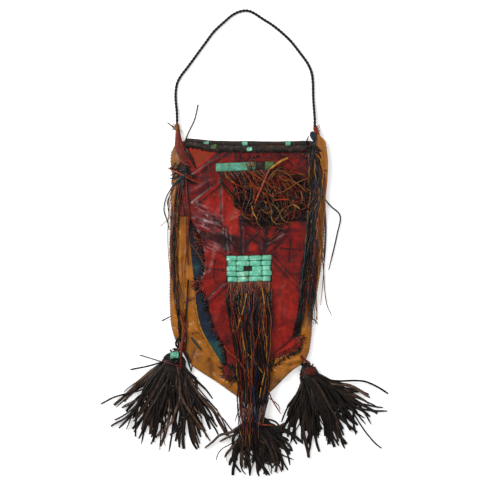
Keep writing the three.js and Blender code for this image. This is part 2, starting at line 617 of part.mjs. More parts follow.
// One tassel: a tie on the bag, and a head, binding and fan of strips that turn about the tie.
function tassel(side, tie, { aim, tieLength, turn, head, fan, strips, length }, binding) {
  const along = THREE.MathUtils.degToRad(aim);
  const anchor = [tie[0] + tieLength * Math.cos(along), tie[1] + tieLength * Math.sin(along)];
  const post = new THREE.CylinderGeometry(TIE_RADIUS, TIE_RADIUS, tieTop - GAP, 12)
    .rotateX(Math.PI / 2)
    .translate(...tie, (tieTop + GAP) / 2);
  const strapZ = tieTop - THONG_THICKNESS / 2;
  const strap = thong([[...anchor, strapZ], [...tie, strapZ]], TIE_WIDTH, THONG_THICKNESS, 3);
  add(`${side}_tassel_tie`, joined([post, strap]), "red");

  const hung = new THREE.Group();
  hung.position.set(...tie, 0);
  hung.rotation.z = THREE.MathUtils.degToRad(turn);
  bag.add(hung);

  const [topWidth, lowWidth, headLength] = head;
  const hole = TIE_RADIUS + TIE_CLEARANCE;
  const ring = new THREE.Shape().absarc(0, 0, hole + RING_WALL, 0, 2 * Math.PI);
  ring.holes.push(new THREE.Path().absarc(0, 0, hole, 0, 2 * Math.PI, true));
  const ringSolid = new THREE.ExtrudeGeometry(ring, { depth: RING_HEIGHT, bevelEnabled: false, curveSegments: 8 });
  const headTop = -NECK_LENGTH;
  const headEnd = headTop - headLength;
  const cap = new THREE.Shape([
    new THREE.Vector2(topWidth / 2 - HEAD_BEVEL, headTop - HEAD_BEVEL),
    new THREE.Vector2(-topWidth / 2 + HEAD_BEVEL, headTop - HEAD_BEVEL),
    new THREE.Vector2(-lowWidth / 2 + HEAD_BEVEL, headEnd + HEAD_BEVEL),
    new THREE.Vector2(lowWidth / 2 - HEAD_BEVEL, headEnd + HEAD_BEVEL),
  ]);
  const capSolid = new THREE.ExtrudeGeometry(cap, {
    depth: HEAD_DEPTH - 2 * HEAD_BEVEL,
    bevelThickness: HEAD_BEVEL,
    bevelSize: HEAD_BEVEL,
    bevelSegments: 2,
  });
  const neckEnd = headTop - HEAD_BEVEL * 2;
  const neckStart = -hole - RING_WALL / 2;
  const neckMiddle = (neckStart + neckEnd) / 2;
  const neck = block(NECK_WIDTH, neckStart - neckEnd, RING_HEIGHT, 0, neckMiddle, RING_BOTTOM + RING_HEIGHT / 2);
  const headParts = [ringSolid.translate(0, 0, RING_BOTTOM), capSolid.translate(0, 0, HEAD_BEVEL), neck];
  add(`${side}_tassel_head`, joined(headParts), "strip", hung);

  if (binding) {
    const [[width, height], colour] = binding;
    const wrap = block(width, height, BINDING_DEPTH, 0, headTop - headLength / 2, HEAD_DEPTH + GAP + BINDING_DEPTH / 2);
    add(`${side}_tassel_binding`, wrap, colour, hung);
  }

  const rootY = headEnd - GAP - ROOT_HEIGHT / 2;
  const rootDepth = STRIP_DEPTH + (STRIP_LAYERS - 1) * LAYER_STEP;
  const fanParts = [block(lowWidth, ROOT_HEIGHT, rootDepth, 0, rootY, rootDepth / 2)];
  for (let k = 0; k < strips; k++) {
    const t = k / (strips - 1);
    const lean = THREE.MathUtils.degToRad(fan[0] + (fan[1] - fan[0]) * t);
    const reach = length * (0.9 + 0.1 * Math.sin(2.4 * k));
    const x = (lowWidth / 2 - STRIP_WIDTH / 2) * (2 * t - 1);
    const z = STRIP_DEPTH / 2 + (k % STRIP_LAYERS) * LAYER_STEP;
    const bend = 0.1 * Math.sin(1.7 * k);
    const at = (share, angle) => [x + reach * share * Math.sin(angle), rootY - reach * share * Math.cos(angle), z];
    const middle = at(0.5, lean * 0.82 + bend);
    fanParts.push(thong([[x, rootY, z], middle, at(1, lean)], STRIP_WIDTH, STRIP_DEPTH, 3));
  }
  add(`${side}_tassel_strips`, joined(fanParts), "strip", hung);
}

backPanel();
frontSkin();
frontPanel();
borders();
mouth();
headerBar();
upperFringe();
plaque();
plaqueFringe();
hangingStrap();
sideFringe("left_fringe", LEFT_FRINGE, bodyLeft, 1, strapTop + GAP, dressBottom);
sideFringe("right_fringe", RIGHT_FRINGE, bodyRight, -1, tabTop + GAP, looseBottom);
carryingCord();
const { left, right, bottom } = TASSELS;
tassel("left", [bodyLeft(left.at) - TIE_STANDOFF, left.at], left, [TURQUOISE_BINDING, "turquoise"]);
tassel("right", [bodyRight(right.at) + TIE_STANDOFF, right.at], right, [RED_BINDING, "red"]);
tassel("bottom", [bottom.at, TIP - TIE_STANDOFF], bottom, null);

export default bag;
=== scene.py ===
"""A tasselled leather saddle bag that lies on its back: hides, lines, fringes, tassels and cord."""

import json
import math

import bmesh
import bpy
import numpy as np
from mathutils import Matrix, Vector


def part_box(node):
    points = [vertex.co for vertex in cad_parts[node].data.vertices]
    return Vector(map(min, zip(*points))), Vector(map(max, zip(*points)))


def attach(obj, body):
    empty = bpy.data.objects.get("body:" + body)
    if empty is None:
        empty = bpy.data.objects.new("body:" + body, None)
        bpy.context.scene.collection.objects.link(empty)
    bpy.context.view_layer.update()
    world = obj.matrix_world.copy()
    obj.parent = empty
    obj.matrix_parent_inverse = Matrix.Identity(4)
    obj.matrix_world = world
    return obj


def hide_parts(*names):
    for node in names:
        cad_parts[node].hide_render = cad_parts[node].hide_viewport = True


bl_info = {
    "name": "Tasselled saddle bag",
    "version": (1, 0, 0),
    "blender": (4, 5, 0),
    "location": "View3D > Sidebar > Saddle bag",
    "description": "Dresses the solids of a leather saddle bag in its hides, fringes, tassels and cord",
    "category": "Object",
}

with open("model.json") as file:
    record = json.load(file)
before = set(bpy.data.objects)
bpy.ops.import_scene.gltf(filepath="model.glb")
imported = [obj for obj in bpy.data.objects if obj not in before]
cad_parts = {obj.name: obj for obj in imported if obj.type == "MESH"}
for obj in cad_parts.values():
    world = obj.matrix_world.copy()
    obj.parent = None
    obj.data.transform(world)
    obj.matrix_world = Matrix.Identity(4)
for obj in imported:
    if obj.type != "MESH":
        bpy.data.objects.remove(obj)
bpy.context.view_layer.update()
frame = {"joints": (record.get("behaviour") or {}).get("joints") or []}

# Lengths below are millimetres; a mesh gets metres when it is made.
MM = 0.001

# Cells along each side of the random lattice that soft noise repeats.
LATTICE = 64

# Thicknesses and heights of the stacked hides, and the radius of the bag's rolled edges.
HIDE = 1.6
PANEL = 1.4
ROLL = 16
SKIN_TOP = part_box("front_skin")[1].z / MM
SKIN_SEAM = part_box("front_skin")[0].z / MM
TRIM_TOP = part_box("right_border")[1].z / MM
TRIM_BOTTOM = TRIM_TOP - 1
PANEL_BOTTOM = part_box("front_panel")[0].z / MM
PANEL_TOP_Z = PANEL_BOTTOM + PANEL
BACK_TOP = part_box("back_panel")[1].y / MM
FRONT_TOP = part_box("front_skin")[1].y / MM
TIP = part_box("back_panel")[0].y / MM
# Rows and columns of the large hides' meshes.
BACK_GRID = (150, 90)
SKIN_GRID = (270, 170)
PANEL_GRID = (400, 220)

# Edges of the hides from the mouth down, as [y, x] points of smooth lines.
BODY_LEFT = [
    [222.5, -118], [211, -127], [153, -131], [68, -134.5], [-8.5, -135], [-68, -134.5], [-102, -131],
    [-122.5, -124], [-139.5, -114], [-163, -97], [TIP + 34, -56], [TIP + 7, -17], [TIP, -5],
]
BODY_RIGHT = [
    [222.5, 119], [211, 125], [187, 129], [136, 131], [85, 129], [13.5, 124], [-37.5, 116], [-71.5, 109.5],
    [-119, 105.5], [-144.5, 100.5], [-158, 93], [-170, 76], [TIP + 37.5, 58], [TIP + 15.5, 35.5], [TIP, 14],
]
PANEL_TOP = 209
PANEL_TIP = -188
PANEL_LEFT = [
    [PANEL_TOP, -105.5], [93.5, -105.5], [80, -97], [51, -83.5], [17, -76.5], [-4, -78], [-24, -87],
    [-42, -76], [-71.5, -68], [-95, -61], [-113, -53], [-130, -43], [-144, -40], [-157, -38],
    [-168, -26], [PANEL_TIP, -5],
]
PANEL_RIGHT = [
    [PANEL_TOP, 103.5], [93.5, 103.5], [59.5, 100.5], [22, 95], [-25.5, 90], [-59.5, 86.5], [-93.5, 80],
    [-118, 71], [-138.5, 46], [-150, 29], [PANEL_TIP + 14.5, 20], [PANEL_TIP, 12],
]
LEFT_BORDER_EDGE = [
    [88, -103.5], [51, -100.5], [13.5, -97], [-29, -92], [-68, -88.5], [-102, -80], [-136, -61], [-160, -46],
]
LEFT_BORDERS = {
    "left_border_top": (88, 24), "left_border_middle": (24, -38), "left_border_lower": (-38, -160),
}
RIGHT_BORDER_EDGE = [[82, 110.5], [34, 109], [-25.5, 103.5], [-76.5, 93.5], [-113, 86]]
RIGHT_TRIM_EDGE = [[-114, 90], [-129, 88], [-139.5, 70], [-148, 47.5], [-152, 36]]
UNDERLAP = 5
# Where the strips end below, how far they reach past their edges, and where the cover ends at the tip.
LEFT_STRIPS_END = -164
RIGHT_BORDER_END = -116
STRIP_MARGIN = 3
COVER_END = (-195, -186)
LEFT_TRIM = [(-46, -161), (-16, -161), (-8, -186), (-26, -190), (-40, -178)]
RIGHT_TRIM_DARK = [
    (90, -131), (91.5, -134.5), (75, -145.5), (54, -152.5), (42, -159), (29, -174), (23, -180),
    (20, -175), (31, -158), (47.5, -150), (70.5, -141.5),
]

# Raised double lines drawn on the front panel: start, end, half width.
BANDS = [
    ((-39.6, 199.8), (-98.6, 158.1), 2.8), ((-17.5, 205.7), (-17.5, 187), 2.2),
    ((-51, 146.2), (-94, 113), 3.4), ((-94, 113), (-41, 68), 3.0), ((-41, 68), (-36, 27), 2.4),
    ((-11.7, 86.7), (14, 86.7), 2.2), ((-9, 79), (18, 79), 2.0), ((-8.8, 70.5), (-8.8, 27), 1.8),
    ((23.2, 72), (23.2, 27), 2.0), ((66, 61), (33.6, 43), 2.2), ((38.8, 23.1), (95.2, -40.8), 2.6),
    ((-36, -22), (-67, -50), 2.8), ((-85, 62.9), (-37.4, 27.2), 4.0), ((-50, 58.6), (-36.7, 34.8), 1.6),
    ((-36.8, 54), (-16.5, 38.4), 1.6),
]
# Crosses drawn with two single lines each, and the other single lines: start, end, half width.
CROSSES = [
    ((54.4, 36.2), (86.9, 34)), ((71.4, 52.2), (68.3, 16.5)), ((-70.5, 2), (-44.2, -0.3)),
    ((-58.8, 15.3), (-59.3, -11.9)),
]
LINES = [(start, end, 0.9) for start, end in CROSSES] + [
    ((-3, 62), (16, 44), 1.6), ((16, 62), (-3, 44), 1.6), ((-14.2, 97), (-13.6, 27), 1.5),
    ((29.4, 82), (29.2, 36), 1.5), ((70, 69), (31, 40.5), 1.5), ((58, 49), (36, 30), 1.2),
    ((-104, 160), (-103, 96), 1.4), ((99, 205), (99, 90), 1.6), ((-50, 166), (-46, 70), 1.2),
    ((70, 72), (58, 88), 1.2),
]
# A dot at each end of a cross's lines.
DOTS = [spot for line in CROSSES for spot in line]
DOT_RADIUS = 2.9
# Fields of another red: depth of colour from 0, purple black, to 1, orange; then the corners.
FIELDS = [
    (0.60, [
        (-102, 211), (-59, 211), (-56, 204), (-61, 190), (-73, 178), (-87, 166), (-95, 166), (-100, 187)]),
    (1.02, [(-101, 214), (-64, 214), (-62, 200), (-70, 187), (-88, 178), (-100, 184)]),
    (0.63, [(-83, 110), (-51, 134), (-46, 99), (-61, 97)]),
    (0.78, [(-36, 131), (-22, 110), (-17, 99), (-19, 65), (-30, 58), (-38, 66), (-39, 93)]),
    (0.52, [(-88, 46), (-58, 42), (-39, 24), (-39, -50), (-75, -68), (-85, -25), (-82, 17)]),
    (0.14, [(-100, 68), (-62, 65), (-40, 60), (-15, 58), (-15, 46), (-40, 40), (-62, 49), (-97, 53)]),
    (0.34, [(-17, 92), (34, 92), (34, 26), (-37, 26), (-37, 44), (-17, 50)]),
    (0.36, [(-98, 102), (-62, 96), (-45, 76), (-60, 66), (-92, 72)]),
    (0.30, [(82, 204), (104, 204), (104, 64), (88, 51), (80, 119)]),
    (0.36, [(-101, 157), (-64, 178), (-53, 170), (-50, 149), (-90, 120), (-103, 131)]),
    (0.38, [(-56, 206), (88, 206), (88, 186), (-56, 190)]),
    (0.42, [(-42, -130), (-18, -140), (-14, -174), (-30, -160)]),
    (0.42, [(40, 68), (100, 74), (97, 6), (62, 0), (40, 22)]),
    (0.56, [(40, 0), (88, -20), (84, -80), (64, -128), (38, -136)]),
    (0.60, [(-0.5, 71), (14, 71), (11, 64), (2.5, 64)]),
    (0.72, [(0, 45), (13.5, 45), (13.5, 32), (0, 32)]),
]
FIELD_EDGE = 3.4
# Places where the red hide is crushed, and where pale streaks of painted sheen lie over its colour: middle,
# half width and half height; then the streaks' turn in degrees.
CRUSHED = [((-68, 79), 22, 14), ((-26, 90), 11, 13)]
PAINTED_SHEEN_SPOTS = [((-68, 80), 20, 14), ((-82, 107), 13, 8), ((-64, 38), 14, 9), ((-20, 94), 6, 7)]
PAINTED_SHEEN_TURN = -28
# Lines drawn on the tan hide at the lower left, one after the other.
HIDE_LINE = [(-97, -109), (-87, -105), (-78, -117), (-67, -110)]
# Depth of the left border's blue at heights along it, from black to teal; the stretches with red tufts.
BORDER_TONES = [
    (-160, 0.95), (-132, 0.88), (-112, 0.62), (-60, 0.5), (-45, 0.15), (-8, 0.45), (10, 0.62),
    (30, 0.2), (88, 0.1),
]
RED_TUFTS = [(40, 62), (-36, -10)]

# Folds of the red hide: start, end, height, spread.
FOLDS = [
    ((-84, 112), (-45, 60), 1.5, 5.0), ((-46, 168), (-40, 30), 1.0, 4.2),
    ((-90, 86), (-52, 40), 1.3, 4.5), ((-70, 92), (-40, 34), 0.9, 3.2),
    ((-30, 70), (-26, 27), 0.7, 2.6), ((62, -30), (52, -92), 1.3, 7.0),
    ((-100, 130), (-60, 152), 0.6, 5.0), ((30, 28), (62, 62), 0.4, 4.5),
    ((-56, 30), (-64, -4), 1.0, 5.0), ((40, -50), (74, -100), 0.9, 9.0),
    ((-44, -60), (-54, -92), 0.8, 6.0),
]

# Creases of the tan hide: start, end, height, spread.
SKIN_CREASES = [
    ((-67, -152), (-61, -184), -2.2, 3.0), ((-57, -166), (-33, -194), 1.6, 3.4),
    ((-98, -84), (-84, -104), 1.5, 3.2), ((-99, -109), (-76, -124), -1.8, 3.4),
    ((-83, -126), (-72, -151), 1.4, 4.0), ((-133, -92), (-121, -100), -1.6, 2.2),
    ((-107, -70), (-104, -98), -1.4, 2.4), ((-90, -135), (-100, -160), -1.4, 3.0),
    ((-110, -60), (-96, -66), -1.2, 2.4), ((-112, 20), (-108, -50), -1.2, 2.6),
    ((-118, 60), (-116, -20), 1.0, 2.6), ((52, -160), (70, -163), -2.0, 2.6),
    ((70, -163), (92, -157), -2.0, 2.4), ((66, -157), (88, -151), 1.2, 2.4),
    ((46, -170), (58, -180), 1.6, 4.5), ((32, -188), (52, -190), -1.8, 4.5),
    ((-30, -200), (-14, -212), -1.4, 3.0), ((98, -118), (99, -150), -1.2, 2.4),
]

# Darker patches of the tan hide: middle, half width, half height and depth. The one by the left knot is
# painted shadow; the others only darken the hide in those places.
SHADOW_AND_DARK_PATCHES = [((72, -160), 28, 16, 0.14), ((-119, 176), 9, 26, 0.26), ((-121, -139), 7, 12, 0.2)]

# The carrying cord's route, from the left whipping over the top to the right one.
CORD_POINTS = [
    (-122.5, 243.3, 6.5), (-122.5, 249, 6.5), (-122.5, 256.5, 6.41), (-123, 270, 5.04),
    (-124.5, 284, 3.06), (-125, 302.5, 2.1), (-122.5, 318, 2.1), (-116.5, 330, 2.1), (-103.5, 347, 2.1),
    (-90, 365.5, 2.1), (-75, 386, 2.1), (-59.5, 406.5, 2.1), (-42.5, 422.5, 2.1), (-29, 434, 2.1),
    (-15.5, 440.5, 2.1), (-3.5, 442, 2.1), (6, 439, 2.1), (25.5, 426.5, 2.1), (39, 418, 2.1),
    (56, 404.5, 2.1), (71.5, 389.5, 2.1), (86.5, 370.5, 2.1), (100.5, 351, 2.1), (107, 335, 2.1),
    (109, 318, 2.1), (109.5, 294, 2.18), (111, 270, 5.04), (112, 255, 6.46), (112, 247.5, 6.5),
    (112, 241.8, 6.5),
]
CORD_LENGTH = 504
# Whippings of the cord's ends: start, end, radius and dyes.
WHIPPINGS = {
    "left": ((-122.4, 247.5, 6.6), (-121.8, 238.5, 7.2), 3.5, ["tan", "ochre", "tan"]),
    "right": ((112.6, 243, 6.8), (116.2, 230.5, 9.2), 3.7, ["red", "russet", "red"]),
}

# The bar's corners on the panel, its middle at x = 0, and its rise to the right.
BAR_CORNERS = [(-56, 170), (43, 170), (43, 184), (-56, 184)]
BAR_MIDDLE = 176
BAR_SLOPE = 0.045

# Plaque of turquoise cells in rows, and the dark window in its third row.
PLAQUE_WIDTH = 75
PLAQUE_HEIGHT = 45
PLAQUE_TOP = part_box("plaque_backing")[1].y / MM
PLAQUE_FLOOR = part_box("plaque_strip_1")[0].z / MM
PLAQUE_CORNERS = [(-37, -20), (37, -20), (37, 25), (-37, 25)]
PLAQUE_JOINTS = [-21, 0, 22]
ROW_SHIFTS = (0, -0.3, 0, 0.3, 0)
PITCH = PLAQUE_HEIGHT / len(ROW_SHIFTS)
WINDOW = (-8.5, 5)
WINDOW_ROW = 2
BACKING = [
    (-38.5, -20.5), (0, -21.2), (38.5, -19.5), (38.2, 4), (38.5, 26.3), (0, 25.6), (-38.5, 24.6), (-38.2, 3),
]

# Tassels: the neck's length, how many degrees a strip may leave the fan, and a stray's share of the width.
NECK = 9
FAN_SLACK = 3
STRAY_THICKNESS = 0.6
# The mound of the bottom tassel: middle, half width, half height and rise.
MOUND = ((8, -262), 30, 34)
MOUND_HEIGHT = 10.5
# Each tassel: shift off the pivot, turn, head widths and length, fan of the strips, their length and count,
# how they curl, droop and bulge, the dyes of the head's wraps, and lean and length of single strays.
TASSELS = {
    "left": dict(
        shift=(0, 0), turn=-12, head=(34, 42, 17), fan=(-32, 43), length=142, strips=146,
        curl=0.03, droop=0.0, bulge=0.8, wraps=["black", "black", "brown", "black", "russet"],
        strays=[(-96, 46), (-60, 62), (-41, 90), (44, 150), (50, 158), (47, 96)]),
    "right": dict(
        shift=(-5, -3), turn=19, head=(26, 34, 16), fan=(-29, 41), length=132, strips=128,
        curl=0.036, droop=0.12, bulge=0.8, wraps=["brown", "russet", "brown", "black", "black"],
        strays=[(48, 128), (53, 104), (44, 142), (26, 172), (46, 118), (49, 96)]),
    "bottom": dict(
        shift=(0, 0), turn=8, head=(18, 26, 13), fan=(-25, 31), length=102, strips=140,
        curl=0.08, droop=1.15, bulge=1.65, wraps=["black"] * 5,
        strays=[(-44, 86), (-36, 84), (38, 86), (30, 104)]),
}

# Places of the thongs' dyes on their colour scale, where each dye starts, and how often each fringe has it.
DYES = {
    "black": 0.1, "brown": 0.3, "russet": 0.45, "red": 0.6,
    "tan": 0.7, "ochre": 0.85, "navy": 0.92, "teal": 0.97,
}
DYE_STARTS = (0.0, 0.2, 0.4, 0.55, 0.65, 0.8, 0.9, 0.95)
PALETTES = {
    "upper": {"black": 5, "brown": 5, "russet": 8, "red": 3, "tan": 4, "ochre": 1, "teal": 1},
    "plaque": {"black": 7, "brown": 5, "russet": 3, "red": 2, "tan": 2, "ochre": 1, "navy": 2},
    "side": {"black": 4, "brown": 4, "russet": 3, "red": 1, "tan": 6, "ochre": 1, "navy": 1, "teal": 2},
}
# Shares of the thongs: in the upper fringe's dark mass, and of the others, those that fall from the bar; in
# the plaque's fringe, those that cross it and those that are long; in the side fringes, those that are long.
MASS_SHARE = 0.46
FALLING_SHARE = 0.56
CROSSING_SHARE = 0.36
LONG_PLAQUE_SHARE = 0.7
LONG_SIDE_SHARE = 0.6
# Short thongs in each side fringe's knot, and in the tangle on each tassel's head and each whipping.
KNOT_THONGS = 44
TANGLE_THONGS = 18
# Single thongs that lie on top of the upper fringe: dye, width and route.
UPPER_STRAYS = [
    ("ochre", 4.2, [(66, 189.5), (57, 186), (45, 178), (34, 170)]),
    ("red", 3.4, [(34, 169), (27, 153), (19, 134), (9.6, 112)]),
    ("ochre", 2.4, [(5, 109), (7, 97), (14, 86.5)]),
    ("tan", 1.8, [(45, 129), (61, 134.5), (74, 143), (88, 151), (101, 156)]),
    ("tan", 2.2, [(60, 151), (70, 152), (82, 146), (97, 132)]),
    ("red", 3.2, [(42, 118), (55, 119.5), (67, 119)]),
    ("russet", 3.0, [(29, 128), (32, 118), (38, 106)]),
    ("brown", 1.7, [(38, 109), (40, 97), (30, 87), (14, 82)]),
    ("tan", 1.5, [(22, 103), (30, 96), (38, 101), (34, 111)]),
    ("ochre", 3.0, [(74, 111), (80, 108), (86, 104)]),
    ("russet", 2.2, [(56, 179), (67, 172), (79, 163)]),
    ("brown", 1.5, [(6, 184), (14, 195), (27, 202)]),
    ("brown", 1.6, [(28, 186), (37, 194), (51, 195), (66, 186), (74, 174)]),
    ("tan", 1.6, [(36, 160), (46, 168), (60, 166), (72, 156), (76, 144)]),
    ("red", 2.4, [(2, 166), (16, 157), (31, 147), (43, 137)]),
    ("red", 2.4, [(-2, 160), (4, 146), (10, 133)]),
    ("brown", 2.2, [(-50, 165), (-46, 146), (-33, 128), (-14, 107), (-7, 95)]),
    ("black", 2.6, [(-47, 165), (-43, 146), (-30, 130), (-10, 108), (-4, 97)]),
    ("tan", 1.3, [(-46, 160), (-41, 142), (-28, 124), (-12, 104)]),
    ("black", 3.4, [(4, 140), (2, 122), (-6, 100)]),
    ("russet", 2.0, [(84, 138), (92, 122), (95, 108)]),
    ("tan", 2.2, [(88, 134), (90, 122), (88, 112)]),
]
# Single thongs that lie on top of the plaque's fringe.
PLAQUE_STRAYS = [
    ("red", 2.8, [(-42, -128), (-36, -137), (-20.5, -150), (-6, -171), (6.8, -195)]),
    ("ochre", 2.2, [(-10, -120), (-6, -137), (8.4, -153), (22.8, -174)]),
    ("ochre", 2.0, [(30, -112), (30, -140), (28, -166), (21, -198), (18, -216)]),
    ("navy", 4.4, [(6, -196), (8.4, -212), (11.6, -249), (17, -276)]),
    ("red", 2.4, [(33, -204), (38, -218), (46, -232), (54, -245)]),
    ("brown", 1.6, [(28, -214), (40, -222), (50, -230), (53, -240)]),
    ("red", 2.6, [(10, -256), (22, -262), (42, -264)]),
    ("tan", 2.0, [(-11, -206), (-12, -226), (-9, -248), (-12, -262)]),
    ("black", 1.6, [(-12, -226), (-18, -240), (-24, -258)]),
    ("ochre", 2.0, [(-4, -40), (-9, -64), (-16, -86), (-20, -104)]),
    ("ochre", 1.8, [(22, -30), (26, -60), (24, -90), (29, -118)]),
]
# Side fringes: the knot, their spread, count and widest share of a thong's width, the line that they hang
# along, and their single strays with dye, width and route.
SIDE_FRINGES = {
    "left_fringe": dict(
        knot=(-113, 170), spread=7, count=30, widest=0.8,
        line=[
            [175, -114], [150, -118], [110, -123], [60, -127], [0, -127], [-60, -121], [-95, -113],
            [-125, -110],
        ],
        strays=[
            ("brown", 2.4, [(-86.7, 282), (-92.8, 256), (-105, 229.5), (-111, 207), (-101, 187)]),
            ("brown", 1.8, [(-139, 251), (-131, 245), (-125, 238)]),
            ("brown", 4.6, [(-111, 213), (-105, 203), (-98, 190), (-91, 174)]),
            ("teal", 3.8, [
                (-111, 161, 18), (-116, 155.5, 20), (-124, 148, 17), (-130, 142, 9), (-134, 136, 3)]),
            ("black", 2.0, [(-131, 141), (-141, 124), (-145, 102), (-139, 82), (-136, 68)]),
            ("tan", 1.2, [(-151, 75), (-141, 83), (-132, 92)]),
            ("tan", 1.3, [(-130, 140), (-137, 95), (-138, 40), (-134, -10)]),
            ("brown", 2.0, [(-149, -87), (-141, -83), (-132, -78)]),
            ("red", 2.6, [(-130, 176, 8), (-135, 173, 7), (-124, 167, 17), (-105, 157, 21), (-82, 146, 17)]),
            ("russet", 3.4, [(-107, 166), (-105.5, 128), (-102, 92), (-104, 60), (-105, 34), (-103, 8)]),
            ("russet", 1.5, [(-104, 110), (-107, 70), (-106, 34), (-109, 0), (-108, -30)]),
            ("brown", 3.6, [(-124, -40), (-121, -76), (-116, -98), (-120, -122), (-121, -140)]),
            ("black", 2.4, [(-118, -60), (-120, -92), (-117, -118), (-113, -136)]),
            ("russet", 4.6, [
                (-116, -70, 17), (-109, -98, 17), (-113.5, -124, 18), (-115.5, -146, 18), (-116, -168, 15)]),
            ("brown", 3.0, [(-103, -16), (-106, -62), (-108, -94), (-106, -122), (-110, -140)]),
            ("black", 3.2, [(-112, -134, 15), (-106, -148, 13), (-102, -160, 8), (-99, -172, 4)]),
            ("brown", 2.6, [(-109, -138, 15), (-101, -151, 12), (-97, -163, 6), (-99, -174, 3)]),
            ("black", 3.4, [(-121, -116), (-125, -126), (-120, -134), (-116, -140)]),
            ("tan", 1.6, [(-128, 150), (-136, 122), (-138, 104), (-133, 84)]),
            ("brown", 1.6, [(-127, 140), (-134, 128), (-139, 116), (-136, 98)]),
            ("tan", 1.2, [(-108, 50), (-96, 40), (-82, 20), (-72, -5)]),
            ("teal", 3.4, [(-98, -114), (-91, -124), (-81, -136)]),
            ("russet", 2.4, [(-93, -46), (-104, -52), (-112, -56)]),
        ]),
    "right_fringe": dict(
        knot=(108, 206), spread=9, count=64, widest=1.2,
        line=[
            [215, 107], [170, 114], [140, 115], [100, 112], [60, 109], [0, 105], [-60, 101], [-85, 99],
            [-100, 99],
        ],
        strays=[
            ("black", 2.6, [(124, 127), (138, 110), (155, 93), (150, 60), (136, 0)]),
            ("russet", 1.7, [(124, 30), (127, 0), (129, -34), (133, -60), (141, -78)]),
            ("tan", 1.3, [(122, 60), (128, 20), (126, -20), (122, -60)]),
            ("tan", 2.4, [(126, 142), (129, 100), (130, 60), (127, 16)]),
            ("brown", 2.2, [(127, 126), (131, 84), (130.5, 44), (127, 0)]),
            ("brown", 1.8, [(107, -82), (113, -86), (117, -92)]),
            ("black", 1.5, [(120, 169, 14.2), (127, 169.5, 15), (134, 168, 12.5)]),
        ]),
}

# Softboxes: place in metres, size in metres and share of the key light's power; then the camera.
SOFTBOXES = {
    "key_softbox": ((-1.3, 1.0, 1.42), 1.3, 1.28),
    "side_softbox": ((1.5, 0.3, 1.3), 1.2, 0.34),
    "low_softbox": ((-0.2, -1.6, 1.3), 1.2, 0.22),
    "glint_softbox": ((-0.82, 0.78, 2.0), 0.5, 0.22),
}
CAMERA_PLACE = (0.0017, 0.034, 3.0)
CAMERA_LENS = 126.6
FLOOR_SIZE = 12
FLOOR_Z = -0.0005
WHITE = (1, 1, 1, 1)


def linear(code):
    """An sRGB hex colour as linear red, green, blue and a full alpha."""
    parts = [int(code[i:i + 2], 16) / 255 for i in (1, 3, 5)]
    return tuple(p / 12.92 if p <= 0.04045 else ((p + 0.055) / 1.055) ** 2.4 for p in parts) + (1.0,)


# Shapes worked out on arrays of points

def hermite(t, span, start, end, leaving, arriving):
    """A cubic stretch at shares t of its span, with its ends and its slopes there."""
    first = (1 + 2 * t) * (1 - t) ** 2 * start + t * (1 - t) ** 2 * span * leaving
    return first + (t ** 2 * (3 - 2 * t) * end + t ** 2 * (t - 1) * span * arriving)


def edge_line(points):
    """The x of a hide's edge at any y, on a smooth line through [y, x] points."""
    ys, xs = np.array(points, float)[::-1].T
    slopes = np.gradient(xs, ys)

    def at(y):
        y = np.clip(y, ys[0], ys[-1])
        i = np.clip(np.searchsorted(ys, y) - 1, 0, len(ys) - 2)
        span = ys[i + 1] - ys[i]
        return hermite((y - ys[i]) / span, span, xs[i], xs[i + 1], slopes[i], slopes[i + 1])

    return at


body_left = edge_line(BODY_LEFT)
body_right = edge_line(BODY_RIGHT)
panel_left = edge_line(PANEL_LEFT)
panel_right = edge_line(PANEL_RIGHT)
left_border_edge = edge_line(LEFT_BORDER_EDGE)
right_border_edge = edge_line(RIGHT_BORDER_EDGE)
right_trim_edge = edge_line(RIGHT_TRIM_EDGE)


def soft_noise(x, y, size, seed):
    """Smooth random heights from -1 to 1 in patches of the given size."""
    lattice = np.random.default_rng(seed).uniform(-1, 1, (LATTICE, LATTICE))
    u, v = np.asarray(x, float) / size, np.asarray(y, float) / size
    i, j = np.floor(u).astype(int), np.floor(v).astype(int)
    s, t = u - i, v - j
    s, t = s * s * (3 - 2 * s), t * t * (3 - 2 * t)

    def corner(right, up):
        return lattice[(i + right) % LATTICE, (j + up) % LATTICE]

    low = corner(0, 0) * (1 - s) + corner(1, 0) * s
    high = corner(0, 1) * (1 - s) + corner(1, 1) * s
    return low * (1 - t) + high * t


def smooth_step(low, high, value):
    """A soft rise from 0 at a low value to 1 at a high one."""
    t = np.clip((value - low) / (high - low), 0, 1)
    return t * t * (3 - 2 * t)


def rounded(distance, radius):
    """The rise of a rolled edge, from 0 at the edge to 1 at the roll's radius."""
    t = np.clip(distance / radius, 0, 1)
    return np.sqrt(1 - (1 - t) ** 2)


def from_segment(x, y, start, end):
    """Distance of each point from a straight stretch."""
    (x0, y0), (x1, y1) = start, end
    dx, dy = x1 - x0, y1 - y0
    t = np.clip(((x - x0) * dx + (y - y0) * dy) / (dx * dx + dy * dy), 0, 1)
    return np.hypot(x - x0 - t * dx, y - y0 - t * dy)


def inside(x, y, corners, soft):
    """1 well inside a shape and 0 well outside it, with an edge as soft as asked."""
    distance = np.full(np.shape(x), 1e9)
    within = np.zeros(np.shape(x), bool)
    for (x0, y0), (x1, y1) in zip(corners, corners[1:] + corners[:1]):
        distance = np.minimum(distance, from_segment(x, y, (x0, y0), (x1, y1)))
        if y0 != y1:
            crosses = (y > min(y0, y1)) & (y <= max(y0, y1))
            within ^= crosses & (x < x0 + (y - y0) * (x1 - x0) / (y1 - y0))
    return smooth_step(-soft, soft, np.where(within, distance, -distance))


